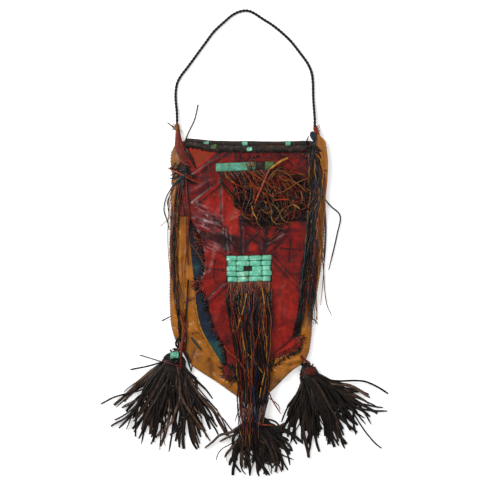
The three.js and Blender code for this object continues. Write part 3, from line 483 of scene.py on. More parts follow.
def smooth_path(points, spacing):
    """A path through points, on cubic stretches, in even steps."""
    knots = np.array(points, float)
    chords = np.sqrt(np.linalg.norm(np.diff(knots, axis=0), axis=1))
    at = np.concatenate([[0], np.cumsum(chords)])
    slopes = np.gradient(knots, at, axis=0)
    fine = np.linspace(0, at[-1], 40 * len(knots))
    i = np.clip(np.searchsorted(at, fine) - 1, 0, len(knots) - 2)
    span = (at[i + 1] - at[i])[:, None]
    t = ((fine - at[i]) / span[:, 0])[:, None]
    curve = hermite(t, span, knots[i], knots[i + 1], slopes[i], slopes[i + 1])
    run = np.concatenate([[0], np.cumsum(np.linalg.norm(np.diff(curve, axis=0), axis=1))])
    steps = np.linspace(0, run[-1], max(3, int(run[-1] / spacing) + 1))
    return np.column_stack([np.interp(steps, run, curve[:, k]) for k in range(knots.shape[1])])


def skin_rise(x, y):
    """How far the front skin has risen over its rolled edges, from 0 to 1."""
    left, right = body_left(y), body_right(y)
    roll = np.minimum(ROLL, 0.4 * (right - left))
    return np.minimum(rounded(x - left, roll), rounded(right - x, roll)) * rounded(y - TIP, ROLL)


def from_edges(x, y, left, right):
    """Distance of each point from the nearer of two edge lines, along X."""
    return np.minimum(x - left(y), right(y) - x)


def covered(x, y):
    """1 under the front panel and the strips around it, and 0 on the bare tan hide."""
    left_strips = np.where(y > LEFT_STRIPS_END, left_border_edge(y), np.inf)
    right_strips = np.where(y > RIGHT_BORDER_END, right_border_edge(y), right_trim_edge(y))
    left = np.minimum(panel_left(y), left_strips) - STRIP_MARGIN
    right = np.maximum(panel_right(y), right_strips) + STRIP_MARGIN
    return smooth_step(-4, 0, np.minimum(x - left, right - x)) * smooth_step(*COVER_END, y)


def creases(x, y, size, seed):
    """1 along thin wandering lines about a size apart, and 0 between them."""
    field = soft_noise(x + 0.3 * size * soft_noise(x, y, 0.5 * size, seed + 1), y, size, seed)
    return np.exp(-(field / 0.06) ** 2)


def crumpled(x, y, size, seed):
    """Height, from about -1 to 1, of leather crushed into facets, with sharp ridges about a size apart."""
    u = x + 0.35 * size * soft_noise(x, y, 1.6 * size, seed + 1)
    v = y + 0.35 * size * soft_noise(x, y, 1.6 * size, seed + 2)
    slanting = soft_noise(0.6 * u + v, v - 0.6 * u, size, seed + 3)
    return 1 - 1.2 * np.abs(soft_noise(u, v, size, seed)) - np.abs(slanting)


def by_hand(x, y):
    """Points pushed about a little, so that what is drawn by them wavers as a hand's lines do."""
    return x + 0.9 * soft_noise(x, y, 13, 33), y + 0.9 * soft_noise(x, y, 13, 34)


def ridges(x, y, rows):
    """Height of folds, each along a wavering stretch with a height and a spread."""
    drawn = by_hand(x, y)
    return sum(
        height * np.exp(-(from_segment(*drawn, start, end) / spread) ** 2)
        for start, end, height, spread in rows)


def nearness(x, y, places):
    """How near points are to places, each a middle, half width and half height: 1 in the middle of one."""
    return sum(
        np.exp(-((x - spot[0]) / wide) ** 2 - ((y - spot[1]) / high) ** 2) for spot, wide, high in places)


def skin_folds(x, y):
    """Height of the tan hide's creases: long folds by the edges, and crumpled leather at the lower end."""
    from_left = x - body_left(y)
    from_right = body_right(y) - x
    sway = 2.4 * soft_noise(x, y, 55, 3)
    left_folds = np.sin(2 * math.pi * from_left / 13 + sway) * np.exp(-from_left / 34)
    right_folds = np.sin(2 * math.pi * from_right / 11 + 1.3 * sway) * np.exp(-from_right / 26)
    lower = smooth_step(-20, -110, y)
    shape = (1 - 0.6 * lower) * (0.9 * left_folds + 0.8 * right_folds)
    shape += (1.2 + 2.4 * lower) * crumpled(x + 0.4 * y, 0.8 * y, 34, 5)
    shape += (0.6 + 0.8 * lower) * crumpled(x, y, 14, 7)
    shape += 1.4 * ridges(x, y, SKIN_CREASES)
    return shape * (1 - 0.9 * covered(x, y)) * smooth_step(0, 0.6, skin_rise(x, y))


def skin_height(x, y):
    """Height of the front skin's upper face."""
    return SKIN_SEAM + HIDE + skin_rise(x, y) * (SKIN_TOP - HIDE - SKIN_SEAM) + skin_folds(x, y)


def under_dress(x, y):
    """1 where the plaque or the bar lies on the front panel, so that the panel is flat there."""
    return np.maximum(inside(x, y, PLAQUE_CORNERS, 5), inside(x, y, BAR_CORNERS, 5))


def panel_relief(x, y):
    """Height of the red hide's folds, raised lines and crumples above its flat top."""
    relief = np.zeros(np.shape(x))
    drawn = by_hand(x, y)
    for start, end, half_width in BANDS:
        away = from_segment(*drawn, start, end)
        relief += 0.5 * smooth_step(half_width + 1.8, half_width - 1.6, away)
    relief += ridges(x, y, FOLDS)
    crushed = nearness(x, y, CRUSHED)
    relief += (0.4 + 2.0 * crushed) * crumpled(x, y, 23, 11)
    relief += (0.06 + 0.5 * crushed) * crumpled(x + 0.5 * y, y - 0.3 * x, 11, 16)
    relief += 0.35 * soft_noise(x, y, 45, 13)
    below_mouth = smooth_step(PANEL_TOP + 4, PANEL_TOP - 50, y)
    return np.maximum(relief + 0.9, 0) * (1 - 0.95 * under_dress(x, y)) * below_mouth


def tassel_mound(x, y):
    """Height of the bottom tassel where the plaque's fringe lies on it."""
    (middle_x, middle_y), wide, high = MOUND
    reach = np.hypot((x - middle_x) / wide, (y - middle_y) / high)
    return MOUND_HEIGHT * smooth_step(1.25, 0.55, reach)


def ground(x, y):
    """Height of what a thong lies on: front panel, strips, tan hide, bottom tassel or floor."""
    bag = (x > body_left(y)) & (x < body_right(y)) & (y > TIP) & (y < FRONT_TOP)
    height = np.where(bag, skin_height(x, y), 0)
    height = np.where(bag & (covered(x, y) > 0.9), np.maximum(height, TRIM_TOP), height)
    panel = (x > panel_left(y)) & (x < panel_right(y)) & (y > PANEL_TIP) & (y < PANEL_TOP)
    height = np.where(panel, PANEL_TOP_Z + panel_relief(x, y), height)
    return np.maximum(height, tassel_mound(x, y))


def unit(vectors):
    """The vectors, each at length 1."""
    return vectors / np.linalg.norm(vectors, axis=1)[:, None]


def ring_angles(count):
    """Even angles once round a ring."""
    return np.linspace(0, 2 * math.pi, count, endpoint=False)


# Meshes

def solid_box(node):
    """The low and the high corner of a solid's box, in millimetres."""
    return [np.array(corner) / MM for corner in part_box(node)]


def placed(name, data):
    """A new object in the scene that shows the data."""
    made = bpy.data.objects.new(name, data)
    bpy.context.collection.objects.link(made)
    return made


def set_values(mesh, attributes):
    """Gives a mesh one value a point for each named attribute."""
    for label, values in attributes.items():
        layer = mesh.attributes.new(label, "FLOAT", "POINT")
        layer.data.foreach_set("value", np.ravel(values).astype(np.float32))


def new_piece(name, points, faces, leather, attributes=None):
    """A mesh piece from points in millimetres, with its faces pointing out."""
    mesh = bpy.data.meshes.new(name)
    mesh.from_pydata((np.asarray(points, float) * MM).tolist(), [], faces)
    shape = bmesh.new()
    shape.from_mesh(mesh)
    bmesh.ops.recalc_face_normals(shape, faces=shape.faces)
    shape.to_mesh(mesh)
    shape.free()
    set_values(mesh, attributes or {})
    mesh.shade_smooth()
    mesh.materials.append(leather)
    return placed(name, mesh)


def grid_faces(rows, columns, start=0, closed=False):
    """Quads over a grid of points; a closed grid joins its last column to its first."""
    faces = []
    for j in range(rows - 1):
        for i in range(columns if closed else columns - 1):
            a, b = start + j * columns + i, start + j * columns + (i + 1) % columns
            faces.append((a, b, b + columns, a + columns))
    return faces


def hide(name, x, y, top, bottom, leather, attributes=None):
    """A cut piece of leather between a grid of heights and a lower grid, or a flat bottom at one height."""
    rows, columns = x.shape
    count = rows * columns
    points = np.column_stack([x.ravel(), y.ravel(), top.ravel()])
    faces = grid_faces(rows, columns)
    rim = list(range(columns)) + [j * columns + columns - 1 for j in range(1, rows)]
    rim += list(range(count - 2, count - columns - 1, -1)) + [j * columns for j in range(rows - 2, 0, -1)]
    if np.ndim(bottom):
        below = np.column_stack([x.ravel(), y.ravel(), bottom.ravel()])
        faces += [face[::-1] for face in grid_faces(rows, columns, count)]
        foot, kept = [spot + count for spot in rim], np.arange(count)
    else:
        below = np.column_stack([points[rim, :2], np.full(len(rim), bottom)])
        foot, kept = list(range(count, count + len(rim))), np.array(rim)
        faces.append(tuple(foot[::-1]))
    around = zip(rim, rim[1:] + rim[:1], foot, foot[1:] + foot[:1])
    faces += [(a, c, d, b) for a, b, c, d in around]
    values = {}
    for label, given in (attributes or {}).items():
        values[label] = np.concatenate([given.ravel(), given.ravel()[kept]])
    return new_piece(name, np.vstack([points, below]), faces, leather, values)


def loft(name, rings, leather, attributes=None):
    """A closed skin over rings of points, with a face on each end."""
    rings = np.asarray(rings, float)
    rows, columns = rings.shape[:2]
    faces = grid_faces(rows, columns, closed=True)
    faces += [tuple(range(columns)), tuple(range((rows - 1) * columns, rows * columns))]
    return new_piece(name, rings.reshape(-1, 3), faces, leather, attributes)


def between(left, right, rows, columns, low, high):
    """A grid of x and y between two edge lines, from a low y to a high one."""
    y = np.repeat(np.linspace(low, high, rows)[:, None], columns, axis=1)
    share = np.linspace(0, 1, columns)[None, :]
    return left(y) + (right(y) - left(y)) * share, y


def joined(name, pieces):
    """One piece made of several."""
    whole = bmesh.new()
    for piece in pieces:
        whole.from_mesh(piece.data)
    target = pieces[0]
    whole.to_mesh(target.data)
    whole.free()
    for piece in pieces[1:]:
        bpy.data.objects.remove(piece)
    target.name = name
    return target


def seat(piece, body, slot, *nodes):
    """Rides a finished piece on its body and hides the solids that it stands for; the finish's slot is not
    used.
    """
    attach(piece, body)
    if nodes:
        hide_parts(*nodes)


# Nodes

def add_node(tree, kind, inputs=None, output=None, stops=(), **settings):
    """Adds a node with its settings, values, links and colour stops, and gives the output asked for."""
    made = tree.nodes.new(kind)
    for label, value in settings.items():
        setattr(made, label, value)
    for label, value in (inputs or {}).items():
        socket = next(s for s in made.inputs if s.enabled and label in (s.name, s.identifier))
        if isinstance(value, bpy.types.NodeSocket):
            tree.links.new(value, socket)
        else:
            socket.default_value = value
    for k, (place, shade) in enumerate(stops):
        ramp = made.color_ramp.elements
        stop = ramp[k] if k < 2 else ramp.new(place)
        stop.position = place
        stop.color = shade
    shown = [s for s in made.outputs if s.enabled and output in (None, s.name)]
    return shown[0] if shown else made


def thong_sweep():
    """The tree that sweeps a fringe: each path gets a flat section with its own width and roll."""
    tree = bpy.data.node_groups.get("Thong sweep")
    if tree:
        return tree
    tree = bpy.data.node_groups.new("Thong sweep", "GeometryNodeTree")
    sockets = {"Paths": "Geometry", "Sides": "Int", "Flatness": "Float", "Leather": "Material"}
    for label, kind in sockets.items():
        tree.interface.new_socket(label, in_out="INPUT", socket_type="NodeSocket" + kind)
    tree.interface.new_socket("Thongs", in_out="OUTPUT", socket_type="NodeSocketGeometry")
    given = add_node(tree, "NodeGroupInput", output="Paths").node.outputs
    roll, width = (
        add_node(tree, "GeometryNodeInputNamedAttribute", {"Name": label}, "Attribute", data_type="FLOAT")
        for label in ("roll", "width"))
    path = add_node(tree, "GeometryNodeMeshToCurve", {"Mesh": given["Paths"]})
    path = add_node(tree, "GeometryNodeSetCurveNormal", {"Curve": path}, mode="Z_UP")
    path = add_node(tree, "GeometryNodeSetCurveTilt", {"Curve": path, "Tilt": roll})
    ring = add_node(tree, "GeometryNodeCurvePrimitiveCircle", {"Resolution": given["Sides"], "Radius": 0.5})
    flat = add_node(tree, "ShaderNodeCombineXYZ", {"X": 1.0, "Y": given["Flatness"], "Z": 1.0})
    ring = add_node(tree, "GeometryNodeTransform", {"Geometry": ring, "Scale": flat})
    swept = {"Curve": path, "Profile Curve": ring, "Scale": width, "Fill Caps": True}
    thongs = add_node(tree, "GeometryNodeCurveToMesh", swept)
    thongs = add_node(tree, "GeometryNodeSetShadeSmooth", {"Geometry": thongs})
    thongs = add_node(tree, "GeometryNodeRealizeInstances", {"Geometry": thongs})
    thongs = add_node(tree, "GeometryNodeSetMaterial", {"Geometry": thongs, "Material": given["Leather"]})
    add_node(tree, "NodeGroupOutput", {"Thongs": thongs})
    return tree


class Strands:
    """The paths of one fringe, each with its width, dye and roll along it."""

    def __init__(self):
        self.paths = []

    def add(self, path, width, dye, roll=0.0):
        """Adds one path, with one value for all of it or a value for each point."""
        values = [np.broadcast_to(value, len(path)) for value in (width, dye, roll)]
        self.paths.append([np.asarray(path, float)] + values)

    def add_strays(self, strays, spacing, layer):
        """Adds single thongs of a dye, width and route; a flat route lies a layer above what is under it."""
        for dye, width, route in strays:
            path = smooth_path(route, spacing)
            if path.shape[1] == 2:
                path = lay(path, layer())
            self.add(path, width * taper(len(path), 0.6), DYES[dye])

    def sweep(self, name, leather, flatness, sides=6):
        """One mesh piece of all the paths, swept by the node tree."""
        paths, widths, dyes, rolls = (np.concatenate(column) for column in zip(*self.paths))
        lengths = [len(path[0]) for path in self.paths]
        starts = np.cumsum([0] + lengths[:-1])
        edges = [(a + k, a + k + 1) for a, count in zip(starts, lengths) for k in range(count - 1)]
        mesh = bpy.data.meshes.new(name)
        mesh.from_pydata((paths * MM).tolist(), edges, [])
        set_values(mesh, {"width": widths * MM, "dye": dyes, "roll": rolls})
        piece = placed(name, mesh)
        tree = thong_sweep()
        modifier = piece.modifiers.new("Thong sweep", "NODES")
        modifier.node_group = tree
        values = {"Sides": sides, "Flatness": flatness, "Leather": leather}
        for item in tree.interface.items_tree:
            if item.name in values:
                modifier[item.identifier] = values[item.name]
        depsgraph = bpy.context.evaluated_depsgraph_get()
        swept = bpy.data.meshes.new_from_object(piece.evaluated_get(depsgraph))
        piece.modifiers.remove(modifier)
        piece.data = swept
        bpy.data.meshes.remove(mesh)
        swept.name = name
        return piece


def wander(rng, start, heading, length, curl, step, steer=None):
    """A flat path that turns a little at random as it goes; steer may bend it at each step."""
    spots = [np.array(start, float)]
    turn = 0.0
    for _ in range(max(2, int(length / step))):
        turn = 0.75 * turn + rng.normal(0, curl)
        heading += turn + (steer(spots[-1], heading) if steer else 0.0)
        spots.append(spots[-1] + step * np.array([math.cos(heading), math.sin(heading)]))
    return np.array(spots)


def turn_towards(heading, aim):
    """The angle from a heading to an aim, the short way round."""
    return (aim - heading + math.pi) % (2 * math.pi) - math.pi


def lay(path, layer):
    """A flat path with its heights, a layer above what it lies on, bridging steps as stiff leather does."""
    under = ground(path[:, 0], path[:, 1])
    z = under + layer
    for _ in range(6):
        z[1:-1] = (z[:-2] + 2 * z[1:-1] + z[2:]) / 4
        z = np.maximum(z, under + 0.7)
    return np.column_stack([path, z])


def taper(count, tip, share=0.25):
    """Width of a thong along its length: full, then narrowing to its tip."""
    t = np.linspace(0, 1, count)
    return 1 - (1 - tip) * smooth_step(1 - share, 1, t)


# Finishes

def noise(tree, spot, size, detail, grit=0.5):
    """A random value in patches of a size in mm."""
    patches = {"Vector": spot, "Scale": 1 / (size * MM), "Detail": detail, "Roughness": grit}
    return add_node(tree, "ShaderNodeTexNoise", patches, "Fac")


def ranged(tree, value, low, high, to_low=0.0, to_high=1.0, clamp=True):
    """A value moved from one range to another."""
    limits = {"Value": value, "From Min": low, "From Max": high, "To Min": to_low, "To Max": to_high}
    return add_node(tree, "ShaderNodeMapRange", limits, clamp=clamp)


def maths(tree, operation, first, second):
    """Two values worked into one."""
    return add_node(tree, "ShaderNodeMath", {"Value": first, "Value_001": second}, operation=operation)


def mesh_value(tree, label):
    """A value that the points of the mesh carry."""
    return add_node(tree, "ShaderNodeAttribute", output="Fac", attribute_name=label)


def mixed(tree, share, under, over):
    """A colour with a share of another colour over it."""
    inputs = {"Factor": share, "A": under, "B": over}
    return add_node(tree, "ShaderNodeMix", inputs, "Result", data_type="RGBA")


def leather_finish(paint, roughness, grain, depth, shine, spread=0.1):
    """Leather: a painted colour, pores and wrinkles of a grain in mm, and a gloss that wear breaks up."""
    made = bpy.data.materials.new("leather")
    made.use_nodes = True
    tree = made.node_tree
    tree.nodes.clear()
    spot = add_node(tree, "ShaderNodeTexCoord", output="Object")
    pores = add_node(tree, "ShaderNodeTexVoronoi", {"Vector": spot, "Scale": 1 / (grain * MM)}, "Distance")
    wrinkles = noise(tree, spot, grain / 0.3, 6.0)
    height = maths(tree, "ADD", maths(tree, "MULTIPLY", pores, wrinkles), wrinkles)
    gloss = ranged(tree, noise(tree, spot, 26, 5.0), 0.3, 0.7, roughness - spread, roughness + spread)
    bump = add_node(tree, "ShaderNodeBump", {"Height": height, "Strength": 0.7, "Distance": depth * MM})
    shader = add_node(tree, "ShaderNodeBsdfPrincipled", {
        "Base Color": paint(tree, spot), "Roughness": gloss, "Normal": bump, "IOR": 1.5,
        "Specular IOR Level": shine,
    })
    add_node(tree, "ShaderNodeOutputMaterial", {"Surface": shader})
    return made


def mottled(tree, spot, size, stops, push=None, weight=1.0, stretch=(1, 1, 1), detail=6.0, grit=0.5):
    """A colour from stops, by a noise of a size in mm that a value of the mesh may push up or down."""
    place = add_node(tree, "ShaderNodeMapping", {"Vector": spot, "Scale": stretch})
    low = -weight / 2 if push else 0.0
    patch = ranged(tree, noise(tree, place, size, detail, grit), 0.3, 0.7, low, low + weight, clamp=False)
    if push:
        patch = maths(tree, "ADD", patch, mesh_value(tree, push))
    return add_node(tree, "ShaderNodeValToRGB", {"Fac": patch}, "Color", stops)


def shades(dye, *steps):
    """Stops of one colour, each at a place with a share of its brightness."""
    return [(place, tuple(min(1.0, part * share) for part in dye[:3]) + (1.0,)) for place, share in steps]


def inked(tree, spot, under, ink):
    """A colour with dye of another one where the mesh's ink value is, worn thin in small spots."""
    worn = ranged(tree, noise(tree, spot, 3, 3.0), 0.3, 0.55, to_low=0.65)
    return mixed(tree, maths(tree, "MULTIPLY", mesh_value(tree, "ink"), worn), under, tuple(ink))


def tan_goatskin(dyes):
    """Vegetable-tanned goatskin: warm ochre, paler and browner in patches, half matt; on the front hide and
    the right cord tab the mesh's tone adds painted light on the crests of folds and painted shade in their
    hollows.
    """
    stops = shades(dyes.tan_hide, (0.0, 0.1), (0.3, 0.5), (0.52, 1.0), (0.75, 1.35), (1.0, 1.8))

    def paint(tree, spot):
        ochre = mottled(tree, spot, 17, stops, "tone", 0.26, (1, 0.7, 1))
        return inked(tree, spot, ochre, dyes.line_dye)

    return leather_finish(paint, 0.42, 1.8, 0.3, 0.36)


def red_goatskin(dyes):
    """Red-dyed goatskin, burnished: red, orange and purple fields, dark lines, tan scuffs, and pale streaks
    of painted sheen on its crushed places.
    """
    stops = shades(dyes.purple_field, (0.0, 0.3), (0.25, 1.0))
    stops += shades(dyes.red_hide, (0.5, 1.0), (0.76, 1.8))
    stops += shades(dyes.orange_field, (1.0, 1.0))

    def paint(tree, spot):
        dyed = inked(tree, spot, mottled(tree, spot, 16, stops, "tone", 0.6, grit=0.72), dyes.line_dye)
        scuffs = ranged(tree, noise(tree, spot, 6, 5.0), 0.67, 0.74, to_high=0.55)
        bared = mixed(tree, scuffs, dyed, tuple(dyes.tan_hide))
        # Painted sheen: pale streaks, turned along the folds, mixed into the colour over the crushed places
        # in place of their gloss.
        turned = {"Vector": spot, "Rotation": (0, 0, math.radians(PAINTED_SHEEN_TURN)), "Scale": (2.6, 1, 1)}
        along = add_node(tree, "ShaderNodeMapping", turned, vector_type="TEXTURE")
        streaks = ranged(tree, noise(tree, along, 5, 5.0, 0.6), 0.46, 0.64, to_high=0.47)
        rubbed = maths(tree, "MULTIPLY", streaks, mesh_value(tree, "rubbed"))
        return mixed(tree, rubbed, bared, tuple(dyes.painted_sheen_red))

    return leather_finish(paint, 0.26, 1.3, 0.04, 0.5, spread=0.06)


def russet_goatskin(dyes):
    """Brown-red strap leather: duller than the front panel, darker along its edges."""
    stops = shades(dyes.russet_strap, (0.1, 0.25), (0.5, 1.0), (0.9, 1.7))

    def paint(tree, spot):
        return inked(tree, spot, mottled(tree, spot, 9, stops, "tone", 0.5), dyes.line_dye)

    return leather_finish(paint, 0.45, 1.4, 0.5, 0.2)


def black_goatskin(dyes):
    """Black-dyed leather: brown shows where the dye has worn, with a dull shine."""
    stops = shades(dyes.black_hide, (0.2, 0.5), (0.6, 1.0), (0.95, 4.0))
    return leather_finish(lambda tree, spot: mottled(tree, spot, 7, stops), 0.48, 1.2, 0.6, 0.3)


def indigo_goatskin(dyes):
    """Indigo-dyed leather: blue black with paler, greener patches where it was worn."""
    stops = shades(dyes.indigo_hide, (0.1, 0.12), (0.4, 0.5), (0.62, 1.0))
    stops += shades(dyes.teal_hide, (0.95, 1.0))
    return leather_finish(lambda tree, spot: mottled(tree, spot, 12, stops, "tone", 0.45), 0.5, 1.2, 0.6, 0.3)


def verdigris_goatskin(dyes):
    """Verdigris-dyed leather: bright chalky green blue, stained olive, dark where the mesh carries ink, which
    in the plaque's pinches is painted shade.
    """
    stops = shades(dyes.turquoise_hide, (0.0, 0.3), (0.3, 0.62), (0.55, 1.0), (0.8, 1.35))
    stops += shades(dyes.rubbed_turquoise, (1.0, 1.0))

    def paint(tree, spot):
        chalk = mottled(tree, spot, 7, stops, "tone", 0.5)
        dirt = ranged(tree, noise(tree, spot, 10, 5.0), 0.54, 0.68, to_high=0.8)
        stained = mixed(tree, dirt, chalk, tuple(dyes.olive_stain))
        return inked(tree, spot, stained, dyes.line_dye)

    return leather_finish(paint, 0.45, 1.0, 0.4, 0.35)


def green_goatskin(dyes):
    """Green-dyed leather, brown at its worn edges."""
    stops = shades(dyes.olive_stain, (0.15, 0.35)) + shades(dyes.green_hide, (0.5, 1.0), (0.9, 1.6))
    return leather_finish(lambda tree, spot: mottled(tree, spot, 7, stops), 0.5, 1.0, 0.5, 0.3)


def rolled_thongs(dyes):
    """Rolled thongs cut from dyed scraps: red brown, black, ochre and blue, each with a narrow shine."""
    stops = [(start, tuple(getattr(dyes, name + "_thong"))) for name, start in zip(DYES, DYE_STARTS)]

    def paint(tree, spot):
        ramp = add_node(tree, "ShaderNodeValToRGB", {"Fac": mesh_value(tree, "dye")}, "Color", stops)
        ramp.node.color_ramp.interpolation = "CONSTANT"
        clean = ranged(tree, noise(tree, spot, 7, 4.0), 0.3, 0.6, to_low=0.4)
        return mixed(tree, clean, tuple(dyes.black_thong), ramp)

    return leather_finish(paint, 0.28, 1.5, 0.4, 0.32)


def dry_cut_strips(dyes):
    """Dry cut strips of dark brown leather: nearly black, some browner, with a greyish sheen."""
    stops = shades(dyes.tassel_strips, (0.0, 0.25), (0.4, 0.7), (0.6, 1.8), (0.8, 4.5), (1.0, 11.0))

    def paint(tree, spot):
        return mottled(tree, spot, 9, stops, "dye", 0.3, detail=3.0)

    return leather_finish(paint, 0.42, 1.8, 0.5, 0.26)


def twisted_leather(dyes):
    """Twisted strands of black leather, dulled by handling."""
    stops = shades(dyes.cord, (0.2, 0.5), (0.9, 1.5))
    return leather_finish(lambda tree, spot: mottled(tree, spot, 5, stops), 0.42, 0.9, 0.4, 0.22)


def finish(maker):
    """A finish by its maker, made once and named for it."""
    made = bpy.data.materials.get(maker.__name__)
    if not made:
        made = maker(bpy.context.scene.saddle_bag_colours)
        made.name = maker.__name__
    return made


# Pieces

def make_cord(sizes):
    """The carrying cord: two strands twisted together, from one whipping to the other."""
    path = smooth_path(CORD_POINTS, 0.7)
    along = unit(np.gradient(path, axis=0))
    side = unit(np.cross(along, (0, 0, 1)))
    up = np.cross(side, along)
    run = np.linspace(0, CORD_LENGTH, len(path))
    angle = ring_angles(18)
    twist = 2 * math.pi * run / (sizes.cord_lay / MM)
    radius = sizes.cord_diameter / MM / 2
    uneven = 1 + 0.1 * soft_noise(run, 0, 24, 36)[:, None]
    lobes = radius * (0.74 + 0.5 * uneven * np.abs(np.cos(angle[None, :] - twist[:, None])) ** 1.3)
    rings = path[:, None] + lobes[..., None] * (
        np.cos(angle)[None, :, None] * side[:, None] + np.sin(angle)[None, :, None] * up[:, None])
    rings[..., 2] = np.maximum(rings[..., 2], 0.1)
    cord = loft("carrying_cord", rings, finish(twisted_leather))
    seat(cord, "bag", "cord_leather", "handle_cord")


def mouth_dip(x):
    """How far the mouth's edge has sunk from its left corner."""
    return 4.5 * smooth_step(-108, -50, x)


def make_hides():
    """The tan hides: the flat back panel and the front skin that rises over the pocket."""
    tan = finish(tan_goatskin)
    x, y = between(body_left, body_right, *BACK_GRID, TIP, BACK_TOP)
    swell = 0.25 * soft_noise(x, y, 20, 21)
    lines = creases(x, y, 40, 24)
    tone = 0.5 + 0.22 * soft_noise(x, y, 40, 22) - 0.25 * lines
    y = y - mouth_dip(x) * smooth_step(170, BACK_TOP, y)
    back = hide("back_hide", x, y, HIDE + swell, 0.25 * lines, tan, {"tone": tone})
    seat(back, "bag", "tan_hide", "back_panel")
    x, y = between(body_left, body_right, *SKIN_GRID, TIP, FRONT_TOP)
    top = skin_height(x, y)
    edge = from_edges(x, y, body_left, body_right)
    # Painted light and shade: paler on the ridges of the folds and darker in their valleys. Also darker
    # within a few millimetres of the edges, and in the patches listed above.
    tone = 0.56 + 0.035 * skin_folds(x, y) - 0.3 * np.exp(-edge / 3.5) + 0.12 * soft_noise(x, y, 50, 23)
    for *place, depth in SHADOW_AND_DARK_PATCHES:
        tone -= depth * nearness(x, y, [place])
    ink = np.zeros(x.shape)
    drawn = by_hand(x, y)
    for start, end in zip(HIDE_LINE, HIDE_LINE[1:]):
        ink = np.maximum(ink, 0.9 * smooth_step(1.6, 0.5, from_segment(*drawn, start, end)))
    front = hide("front_hide", x, y, top, top - HIDE, tan, {"tone": tone, "ink": ink})
    seat(front, "bag", "tan_hide", "front_skin")


def make_seams():
    """The stitches that close both sides of the bag."""
    seam = Strands()
    rim = SKIN_SEAM + HIDE
    for edge_at, way in ((body_left, 1), (body_right, -1)):
        for y in np.arange(TIP + 12, 200, 5.5):
            x = edge_at(y)
            stitch = [
                (x + way * 3.2, y, 0.3), (x - way * 0.5, y + 0.8, 0.8),
                (x - way * 0.3, y + 1.4, rim), (x + way * 2.6, y + 2.2, rim + 5.5),
            ]
            seam.add(smooth_path(stitch, 1.2), 1.1, DYES["tan"])
    seat(seam.sweep("side_seam_stitches", finish(rolled_thongs), 0.6, 5), "bag", "tan_hide")


def panel_colours(x, y):
    """Depth of colour and ink of the front panel's drawn pattern."""
    tone = 0.5 + 0.1 * soft_noise(x, y, 40, 31)
    drawn = by_hand(x, y)
    for depth, corners in FIELDS:
        tone += (depth - tone) * inside(*drawn, corners, FIELD_EDGE)
    ink = np.zeros(np.shape(x))
    for start, end, half_width in BANDS:
        away = from_segment(*drawn, start, end)
        tone -= 0.13 * np.exp(-(away / 8) ** 2) * (1 + soft_noise(x, y, 14, 35))
        tone += 0.13 * smooth_step(half_width, half_width - 1, away)
        ink = np.maximum(ink, np.exp(-((away - half_width - 0.6) / 1.25) ** 2))
    for start, end, half_width in LINES:
        away = from_segment(*drawn, start, end)
        ink = np.maximum(ink, smooth_step(half_width + 1.0, half_width - 0.1, away))
    for spot in DOTS:
        away = np.hypot(drawn[0] - spot[0], drawn[1] - spot[1])
        ink = np.maximum(ink, smooth_step(DOT_RADIUS + 0.7, DOT_RADIUS - 0.4, away))
    ink *= 0.92 + 0.25 * soft_noise(x, y, 9, 32)
    edge = from_edges(x, y, panel_left, panel_right)
    ink = np.maximum(ink, 0.75 * np.exp(-edge / 2.2))
    return tone, np.clip(ink, 0, 1)


def make_front_panel():
    """The red hide on the front, creased and drawn with dark lines, crosses and coloured fields."""
    x, y = between(panel_left, panel_right, *PANEL_GRID, PANEL_TIP, PANEL_TOP)
    relief = panel_relief(x, y)
    edge = from_edges(x, y, panel_left, panel_right)
    top = PANEL_TOP_Z + relief * smooth_step(0, 4, edge)
    tone, ink = panel_colours(x, y)
    # Painted shade: a little darker where the hide lies lowest, in its deepest hollows, under the bar and the
    # plaque, and just below the mouth's binding.
    tone -= 0.05 * (relief < 0.4)
    # Where the pale streaks of painted sheen go.
    values = {"tone": tone, "ink": ink, "rubbed": nearness(x, y, PAINTED_SHEEN_SPOTS)}
    panel = hide("red_front_panel", x, y, top, PANEL_BOTTOM, finish(red_goatskin), values)
    seat(panel, "bag", "red_hide", "front_panel")


def cut_sheet(name, corners, bottom, top, leather, tone=0.5):
    """A flat cut piece of leather with the given corners and softly uneven top."""
    ring = np.array(corners, float)
    count = len(ring)
    middle = ring.mean(axis=0)
    inner = middle + (ring - middle) * 0.9
    heights = [(ring, bottom), (ring, top - 0.3), (inner, top)]
    points = np.vstack([np.column_stack([loop, np.full(count, z)]) for loop, z in heights])
    faces = grid_faces(3, count, closed=True) + [tuple(range(count)), tuple(range(2 * count, 3 * count))]
    values = {"tone": np.full(len(points), tone), "ink": np.zeros(len(points))}
    return new_piece(name, points, faces, leather, values)


